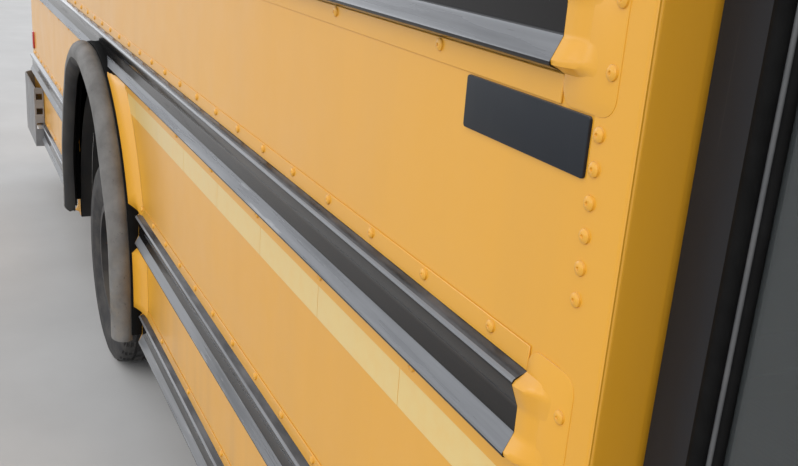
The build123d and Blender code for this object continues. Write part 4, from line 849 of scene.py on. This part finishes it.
def make_lining(side, word):
    # Undercoated lining over the cut edge of the wall and behind the fender
    bm = bmesh.new()
    rise = cut_z - skirt_z
    lining_x = rear_axle.x + cut_radius - 0.0008
    ring = [bm.verts.new((lining_x, side * (half_width + out), skirt_z)) for out in (-0.0448, 0.0008)]
    edges, ring = draw_on(bm, [bm.edges.new(ring)], (0, 0, rise))
    draw_on(bm, half_turn(bm, ring + edges, cut_z, 72), (0, 0, -rise))
    rim = [edge for edge in bm.edges if edge.is_boundary]
    outer = [edge for edge in rim if all(vert.co.y * side > half_width for vert in edge.verts)]
    widest = fender_root - 0.004
    for vert in verts_of(bmesh.ops.extrude_edge_only(bm, edges=outer)["geom"]):
        reach = Vector((vert.co.x - rear_axle.x, max(0, vert.co.z - fender_z)))
        if reach.length < widest:
            wanted = reach.normalized() * widest
            vert.co.x = rear_axle.x + wanted.x
            if vert.co.z > fender_z:
                vert.co.z = fender_z + wanted.y
    bmesh.ops.solidify(bm, geom=list(bm.faces), thickness=-0.0006)
    piece("arch_lining_" + word, bm, undercoat)


def flare_spot(turn, radius):
    # Round the arch by its angle, and straight down its legs past either end
    past = max(-turn, turn - math.pi)
    if past >= 0:
        return rear_axle.x + radius * (1 if turn <= 0 else -1), fender_z - past * 0.6
    return rear_axle.x + radius * math.cos(turn), fender_z + radius * math.sin(turn)


def make_flare(side, word):
    # Flared yellow panel that lifts out to meet the fender, and runs out at the rails and behind the wheel
    bm = bmesh.new()
    roots = [root for _, root, *_ in rails]
    top_z = roots[1] - rail_height - 0.001
    low_roots = [root for root in roots if root < fender_z + fender_root - 0.1]
    inner_radius = fender_root + flare_gap
    for vert in bmesh.ops.create_grid(bm, x_segments=96, y_segments=10, size=1)["verts"]:
        turn = math.pi * (vert.co.x + 1) / 2 * 1.12 - 0.06 * math.pi
        share = (vert.co.y + 1) / 2
        x, z = flare_spot(turn, inner_radius + (flare_radius - inner_radius) * share)
        clear = min(max(0, z - root, root - rail_height - z) for root in low_roots) / flare_run
        behind = min(1, max(0, (x - rear_axle.x + 0.50) / 0.40))
        out = flare_float + flare_rise * (1 - share) * eased(clear) * behind
        vert.co = Vector((x, side * (half_width + out), min(z, top_z)))
    lost = [face for face in bm.faces if all(vert.co.z > top_z - 1e-5 for vert in face.verts)]
    bmesh.ops.delete(bm, geom=lost, context="FACES")
    piece("arch_flare_" + word, bm, yellow, crease=70)


for side, word in sides:
    fender = make_fender(side, word)
    if side < 0:
        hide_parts("rear_fenders")
    make_welt(side, word)
    make_lining(side, word)
    make_flare(side, word)

# Tyres with worn ribs, shoulder slots and a ridged side: distance from the middle, and radius
tyre_profile = (
    (0.0810, 0.2036), (0.0850, 0.2120), (0.0930, 0.2215), (0.1020, 0.2450), (0.1080, 0.2680),
    (0.1090, 0.2700), (0.1105, 0.2900), (0.1085, 0.2935), (0.1090, 0.3220), (0.1045, 0.3400),
    (0.1030, 0.3460), (0.0960, 0.3600), (0.0880, 0.3680), (0.0745, 0.3710), (0.0575, 0.3718),
    (0.0560, 0.3620), (0.0470, 0.3620), (0.0455, 0.3719), (0.0170, 0.3720), (0.0155, 0.3620),
    (0.0065, 0.3620), (0.0050, 0.3720),
)
tyre_steps = 72
tyre_half_place = 0.111
slot_radius = 0.355


def slotted(face, x, y):
    # Whether a tread face is one of the blocks that carry a slot
    spot = face.calc_center_median()
    along = abs(spot.y - y)
    shoulder = 0.058 < along < 0.095
    if not (shoulder or 0.018 < along < 0.045):
        return False
    turn = math.atan2(spot.x - x, spot.z - wheel_z) / (2 * math.pi) * tyre_steps
    odd = int(math.floor(turn + (0 if shoulder else 1))) % 2 == 0
    return odd and math.hypot(spot.x - x, spot.z - wheel_z) > slot_radius


def tyre(x, y):
    bm = bmesh.new()
    ring = list(tyre_profile) + [(-along, radius) for along, radius in reversed(tyre_profile)]
    verts = [bm.verts.new((x, y + along, wheel_z + radius)) for along, radius in ring]
    bmesh.ops.spin(
        bm, geom=verts + outline_edges(bm, verts, True), cent=(x, y, wheel_z), axis=(0, 1, 0), dvec=(0, 0, 0),
        angle=2 * math.pi, steps=tyre_steps, use_merge=True, use_duplicate=False,
    )
    slots = [face for face in bm.faces if slotted(face, x, y)]
    bmesh.ops.inset_individual(bm, faces=slots, thickness=0.0045, depth=-0.0045, use_even_offset=True)
    return bm


nut = turned(((0.0155, 0), (0.0155, 0.016), (0.0120, 0.020), (0.0085, 0.020), (0.0085, 0.031), (0, 0.032)), 6)
cap = turned(
    ((0.060, -0.004), (0.060, 0.003), (0.056, 0.007), (0.036, 0.010), (0.033, 0.020), (0, 0.024)), 28
)
nut_circle = 0.0935
# Each axle: its place, the node of its tyres, and how far out the disc and the hub cap stand
axles = (
    ("rear", rear_axle.x, "rear_tyres_", 0.998, 1.053),
    ("front", front_axle.x, "front_tyre_", 1.014, 1.049),
)
for side, word in sides:
    for place, axle_x, tyre_node, face_y, cap_y in axles:
        body = "wheel_{}_{}".format(place, word)
        low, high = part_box(tyre_node + word)
        inner_y, outer_y = sorted((abs(low.y), abs(high.y)))
        middles = [inner_y + tyre_half_place, outer_y - tyre_half_place]
        if place == "front":
            middles = [(inner_y + outer_y) / 2]
        bm = bmesh.new()
        for tyre_y in middles:
            absorb(bm, tyre(axle_x, side * tyre_y))
        made = piece("tread_{}_{}".format(place, word), bm, tread_black, body)
        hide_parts(tyre_node + word)

        bm = bmesh.new()
        for count in range(8):
            angle = math.pi / 4 * (count + 0.5)
            x, z = axle_x + nut_circle * math.cos(angle), wheel_z + nut_circle * math.sin(angle)
            stamp(bm, nut, [facing((x, side * face_y, z), (0, side, 0))])
        piece("wheel_nuts_{}_{}".format(place, word), bm, zinc, body)

        # Hub cap, with the valve beside it
        bm = bmesh.new()
        stamp(bm, cap, [facing((axle_x, side * cap_y, wheel_z), (0, side, 0))])
        rim_y = middles[-1] + 0.092
        valve = ((0.150, face_y + 0.02), (0.162, rim_y - 0.05), (0.166, rim_y - 0.02))
        tube(bm, [(axle_x + across, side * y, wheel_z + 0.02) for across, y in valve], 0.0035)
        piece("hub_cap_{}_{}".format(place, word), bm, wheel_black, body)

# Entry door: glazing beads and edge rubbers on each leaf
leaf_bar_z = 1.050
leaf_bar_half = 0.040
# Inset from the glass edge, radius and height of the seal, the trim line and the inner bead
bead_rows = ((0.004, 0.0095, 0.009, False), (0.0155, 0.0030, 0.006, True), (0.022, 0.0050, 0.003, False))
for word in ("rear", "front"):
    body = "entry_leaf_" + word
    glass_low, glass_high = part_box("entry_glass_" + word)
    leaf_low, leaf_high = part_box("entry_leaf_" + word)
    middle_x = (glass_low.x + glass_high.x) / 2
    wide = glass_high.x - glass_low.x
    soft = bmesh.new()
    steel = bmesh.new()
    panes = ((glass_low.z, leaf_bar_z - leaf_bar_half), (leaf_bar_z + leaf_bar_half, glass_high.z))
    for low_z, high_z in panes:
        for y, out in ((glass_low.y, -1), (glass_high.y, 1)):
            for inset, radius, lift, hard in bead_rows:
                outline = rounded(wide - 2 * inset, high_z - low_z - 2 * inset, 0.034 - inset * 0.5)
                points = [(middle_x + u, y + out * lift, (low_z + high_z) / 2 + v) for u, v in outline]
                tube(steel if hard else soft, points, radius, closed=True)
    piece("entry_trim_" + word, steel, trim_grey, body)
    meeting_x = leaf_high.x - 0.0005 if word == "rear" else leaf_low.x + 0.0005
    slab(
        soft, (meeting_x - 0.0045, leaf_low.y + 0.006, leaf_low.z + 0.02),
        (meeting_x + 0.0045, leaf_high.y - 0.012, leaf_high.z - 0.02), 0.003, 2,
    )
    piece("entry_beads_" + word, soft, rubber, body)


# Bench and driver's seat: stuffed pads with piped edges

pad_round = 7
pad_crown = 0.15
pad_cuts = 12
dent_depth = 0.004
piping_radius = 0.0035
piping_level = 0.62


def pad_spot(shape, u, v, w):
    # A spot on a pad: round corners, sides drawn in between them, crowned faces, and flat where it rests
    centre, half, axes, rests = shape
    big = max(abs(u), abs(v), abs(w), 1e-6)
    reach = (abs(u) ** pad_round + abs(v) ** pad_round + abs(w) ** pad_round) ** (1 / pad_round)
    u, v, w = (value * big / reach for value in (u, v, w))
    if w > 0 or not rests:
        w *= 1 - pad_crown * (u**4 + v**4)
    across = u * (1 - 0.010 * (1 - v * v))
    deep = v * (1 - 0.030 * (1 - u**4))
    return centre + axes[0] * (across * half[0]) + axes[1] * (deep * half[1]) + axes[2] * (w * half[2])


def pad(bm, shape):
    # One pad with its piping: shape is its middle, half sizes, axes, and whether it rests on its underside
    axes, rests = shape[2:]
    cube = bmesh.new()
    bmesh.ops.create_cube(cube, size=2)
    bmesh.ops.subdivide_edges(cube, edges=cube.edges, cuts=pad_cuts, use_grid_fill=True)
    for vert in cube.verts:
        top = vert.co.z > 0.9
        vert.co = pad_spot(shape, *vert.co)
        if top:
            vert.co -= axes[2] * dent_depth * abs(noise.noise(vert.co * 7))
    absorb(bm, cube)
    for level in (piping_level,) if rests else (piping_level, -piping_level):
        line = []
        for step in range(48):
            u, v = math.cos(math.pi / 24 * step), math.sin(math.pi / 24 * step)
            big = max(abs(u), abs(v))
            line.append(pad_spot(shape, u / big, v / big, level))
        tube(bm, line, piping_radius, closed=True, sides_round=1)


along, crosswise, upright = Vector((1, 0, 0)), Vector((0, 1, 0)), Vector((0, 0, 1))
flat_pad = (crosswise, along, upright)
back_pad = (crosswise, upright, along)
first_row_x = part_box("seat_pads")[1].x - 0.200
bench_y = 0.670
bm = bmesh.new()
for row in range(7):
    row_x = first_row_x - seat_pitch * row
    for side, _ in sides:
        pad(bm, (Vector((row_x, side * bench_y, 1.1850)), (0.475, 0.195, 0.0445), flat_pad, True))
        pad(bm, (Vector((row_x - 0.2378, side * bench_y, 1.4700)), (0.475, 0.305, 0.0360), back_pad, False))
benches = piece("bench_pads", bm, vinyl, crease=60)
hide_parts("seat_pads")

seat_y = middle("driver_seat").y
seat_low_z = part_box("driver_seat")[0].z
bm = bmesh.new()
pad(bm, (Vector((2.020, seat_y, 1.1000)), (0.235, 0.235, 0.0590), flat_pad, True))
pad(bm, (Vector((1.765, seat_y, 1.4700)), (0.235, 0.415, 0.0530), back_pad, False))
driver = piece("driver_seat_pads", bm, vinyl, crease=60)
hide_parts("driver_seat")
bm = bmesh.new()
slab(bm, (1.860, seat_y - 0.150, seat_low_z), (2.160, seat_y + 0.150, 1.040), 0.018, 3)
piece("driver_seat_pedestal", bm, grained_plastic)

# Mirror glasses
mirror_low, mirror_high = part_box("mirrors")
bm = bmesh.new()
for side, _ in sides:
    spot = (mirror_low.x + 0.0005, side * (mirror_high.y - 0.095), 1.435)
    plate(bm, spot, (-1, 0, 0), 0.165, 0.335, 0.020, 0.0020, 0)
piece("mirror_glasses", bm, mirror_silver)

# Stop arm: a white edge round a red face, on both sides
stop_mid = middle("stop_arm")
stop_mid.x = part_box("stop_arm")[0].x + 0.2285
stop_half_thick = 0.003
eighth = Matrix.Rotation(math.pi / 8, 4, "Z")
for name, finish, radius, thick in (
    ("stop_arm_edge", white_tape, 0.243, 0.0006), ("stop_arm_face", sign_red, 0.222, 0.0011),
):
    octagon = turned(((radius, 0), (radius, thick), (0, thick)), 8)
    bm = bmesh.new()
    for side, _ in sides:
        spot = (stop_mid.x, stop_mid.y + side * stop_half_thick, stop_mid.z)
        stamp(bm, octagon, [facing(spot, (0, side, 0)) @ eighth])
    piece(name, bm, finish, "stop_arm")

# Windscreen rubber and wipers
screen_low = Vector((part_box("body_glass")[1].x, 0, 1.345))
screen_rake = Vector((-0.319, 0, 0.695))
screen_normal = Vector((0.909, 0, 0.417))
screen_half = cab_half - 0.090
screen_bow = 0.060


def screen_spot(across, share, lift):
    # A spot on the bowed, raked windscreen: across from -1 to 1, share from foot to head
    bow = Vector((-screen_bow * across * across, across * screen_half, 0))
    return screen_low + bow + screen_rake * share + screen_normal * lift


bm = bmesh.new()
steps = [step / 12 for step in range(-12, 13)]
line = [screen_spot(0.985 * step, 0.022, 0.003) for step in steps]
line += [screen_spot(-0.985 * step, 0.975, 0.003) for step in steps]
tube(bm, line, 0.009, closed=True)
piece("windscreen_rubber", bm, rubber)
bm = bmesh.new()
for foot, tip in ((-0.10, -0.72), (0.62, 0.02)):
    arm = [screen_spot(foot, 0.01, 0.012), screen_spot(foot, 0.03, 0.030)]
    arm += [screen_spot(foot + (tip - foot) * share, 0.03 + 0.12 * share, 0.024) for share in (0.3, 0.6, 1.0)]
    tube(bm, arm, 0.0055)
    blade = [screen_spot(tip + 0.20 * step, 0.15 + 0.035 * step, 0.015) for step in (-1, -0.5, 0, 0.5, 1)]
    tube(bm, blade, 0.0075)
piece("wipers", bm, door_black)

# Door handles: distance along the door, and out from its face
door_face_y = cab_half + 0.0005
grip = (
    (1.985, -0.002), (1.990, 0.020), (2.015, 0.030), (2.085, 0.030), (2.110, 0.020), (2.115, -0.002),
)
bm = bmesh.new()
tube(bm, [(x, door_face_y + out, 1.230) for x, out in grip], 0.008, smooth=True)
piece("driver_door_handle", bm, door_black, "driver_door")
rear_face_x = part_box("rear_door")[0].x
bar = ((0.350, -0.002), (0.350, 0.025), (0.330, 0.034), (0.215, 0.034), (0.195, 0.025), (0.195, -0.002))
bm = bmesh.new()
tube(bm, [(rear_face_x - out, y, 0.960) for y, out in bar], 0.009, smooth=True)
piece("rear_door_handle", bm, zinc, "rear_door")

# Roof bows: seams with small rivets, laid on the roof's own surface
roof_mesh = cad["roof"].data
roof_hull = BVHTree.FromPolygons(
    [vert.co.copy() for vert in roof_mesh.vertices], [list(poly.vertices) for poly in roof_mesh.polygons]
)
seam_steps = 48
seam_break = 0.5
hatch_half = 0.40
hatch_rear_x = -0.68
hatch_front_x = 0.08
# Across the seam and up from the roof
seam_section = ((-0.019, 0.0002), (-0.017, 0.0014), (0.017, 0.0014), (0.019, 0.0002))


def roof_line(x):
    # Spots and normals over the roof at a place, leaving out the hatch
    line = []
    for step in range(seam_steps + 1):
        turn = math.pi * (0.03 + 0.94 * step / seam_steps)
        away = Vector((0, math.cos(turn), math.sin(turn)))
        spot, normal, *_ = roof_hull.ray_cast(Vector((x, 0, 2.30)) + away * 2.0, -away)
        if spot and not (abs(spot.y) < hatch_half and hatch_rear_x < x < hatch_front_x):
            line.append((spot, normal))
    return line


seam = bmesh.new()
heads = bmesh.new()
for count in range(8):
    line = roof_line(jamb_x - 0.070 - seat_pitch * count)
    rows = [
        [seam.verts.new(spot + Vector((shift, 0, 0)) + normal * lift) for shift, lift in seam_section]
        for spot, normal in line
    ]
    for low_row, high_row in zip(rows, rows[1:]):
        if (low_row[0].co - high_row[0].co).length < seam_break:
            for at in range(3):
                seam.faces.new((low_row[at], low_row[at + 1], high_row[at + 1], high_row[at]))
    for spot, normal in line[1:-1]:
        stamp(heads, small_rivet, [facing(spot + normal * 0.001 + Vector((0.008, 0, 0)), normal)])
piece("roof_seams", seam, yellow, recalc=False)
piece("roof_rivets", heads, yellow)

# Scene: floor, light and camera
bm = bmesh.new()
bmesh.ops.create_circle(bm, cap_ends=True, segments=64, radius=160)
ground = add_object("ground", as_mesh("ground", bm))
ground.data.materials.append(pale_concrete())

world = bpy.data.worlds.new("open_sky")
world.use_nodes = True
scene.world = world
tree = world.node_tree
sky = tree.nodes["Background"]
sky.inputs["Strength"].default_value = 2.8
heading = tree.nodes.new("ShaderNodeTexCoord")
height = tree.nodes.new("ShaderNodeSeparateXYZ")
haze = tree.nodes.new("ShaderNodeValToRGB")
tree.links.new(heading.outputs["Generated"], height.inputs[0])
tree.links.new(height.outputs["Z"], haze.inputs[0])
tree.links.new(haze.outputs["Color"], sky.inputs["Color"])
# Hazy horizon, a bright bank of cloud over it, and an even sky above
haze.color_ramp.elements[0].position = 0.06
haze.color_ramp.elements[0].color = (0.200, 0.205, 0.215, 1)
haze.color_ramp.elements[1].position = 0.28
haze.color_ramp.elements[1].color = (0.315, 0.322, 0.335, 1)
bank = haze.color_ramp.elements.new(0.15)
bank.color = (0.740, 0.765, 0.805, 1)

sun = bpy.data.lights.new("soft_sun", "SUN")
sun.energy = 1.0
sun.angle = math.radians(50)
sun.color = (1.0, 0.985, 0.96)
sun_object = add_object("soft_sun", sun)
sun_object.rotation_euler = Vector((0.35, -0.75, 0.75)).to_track_quat("Z", "Y").to_euler()

camera = bpy.data.cameras.new("camera")
camera.lens = 43.1
camera.sensor_width = 36
camera.clip_start = 0.02
camera.clip_end = 400
camera_object = add_object("camera", camera)
camera_object.matrix_world = Matrix(
    (
        (0.4272, -0.3135, 0.8481, 2.291),
        (0.9013, 0.0722, -0.4273, -1.750),
        (0.0727, 0.9469, 0.3132, 1.662),
        (0, 0, 0, 1),
    )
)
scene.camera = camera_object
scene.view_settings.view_transform = "Standard"
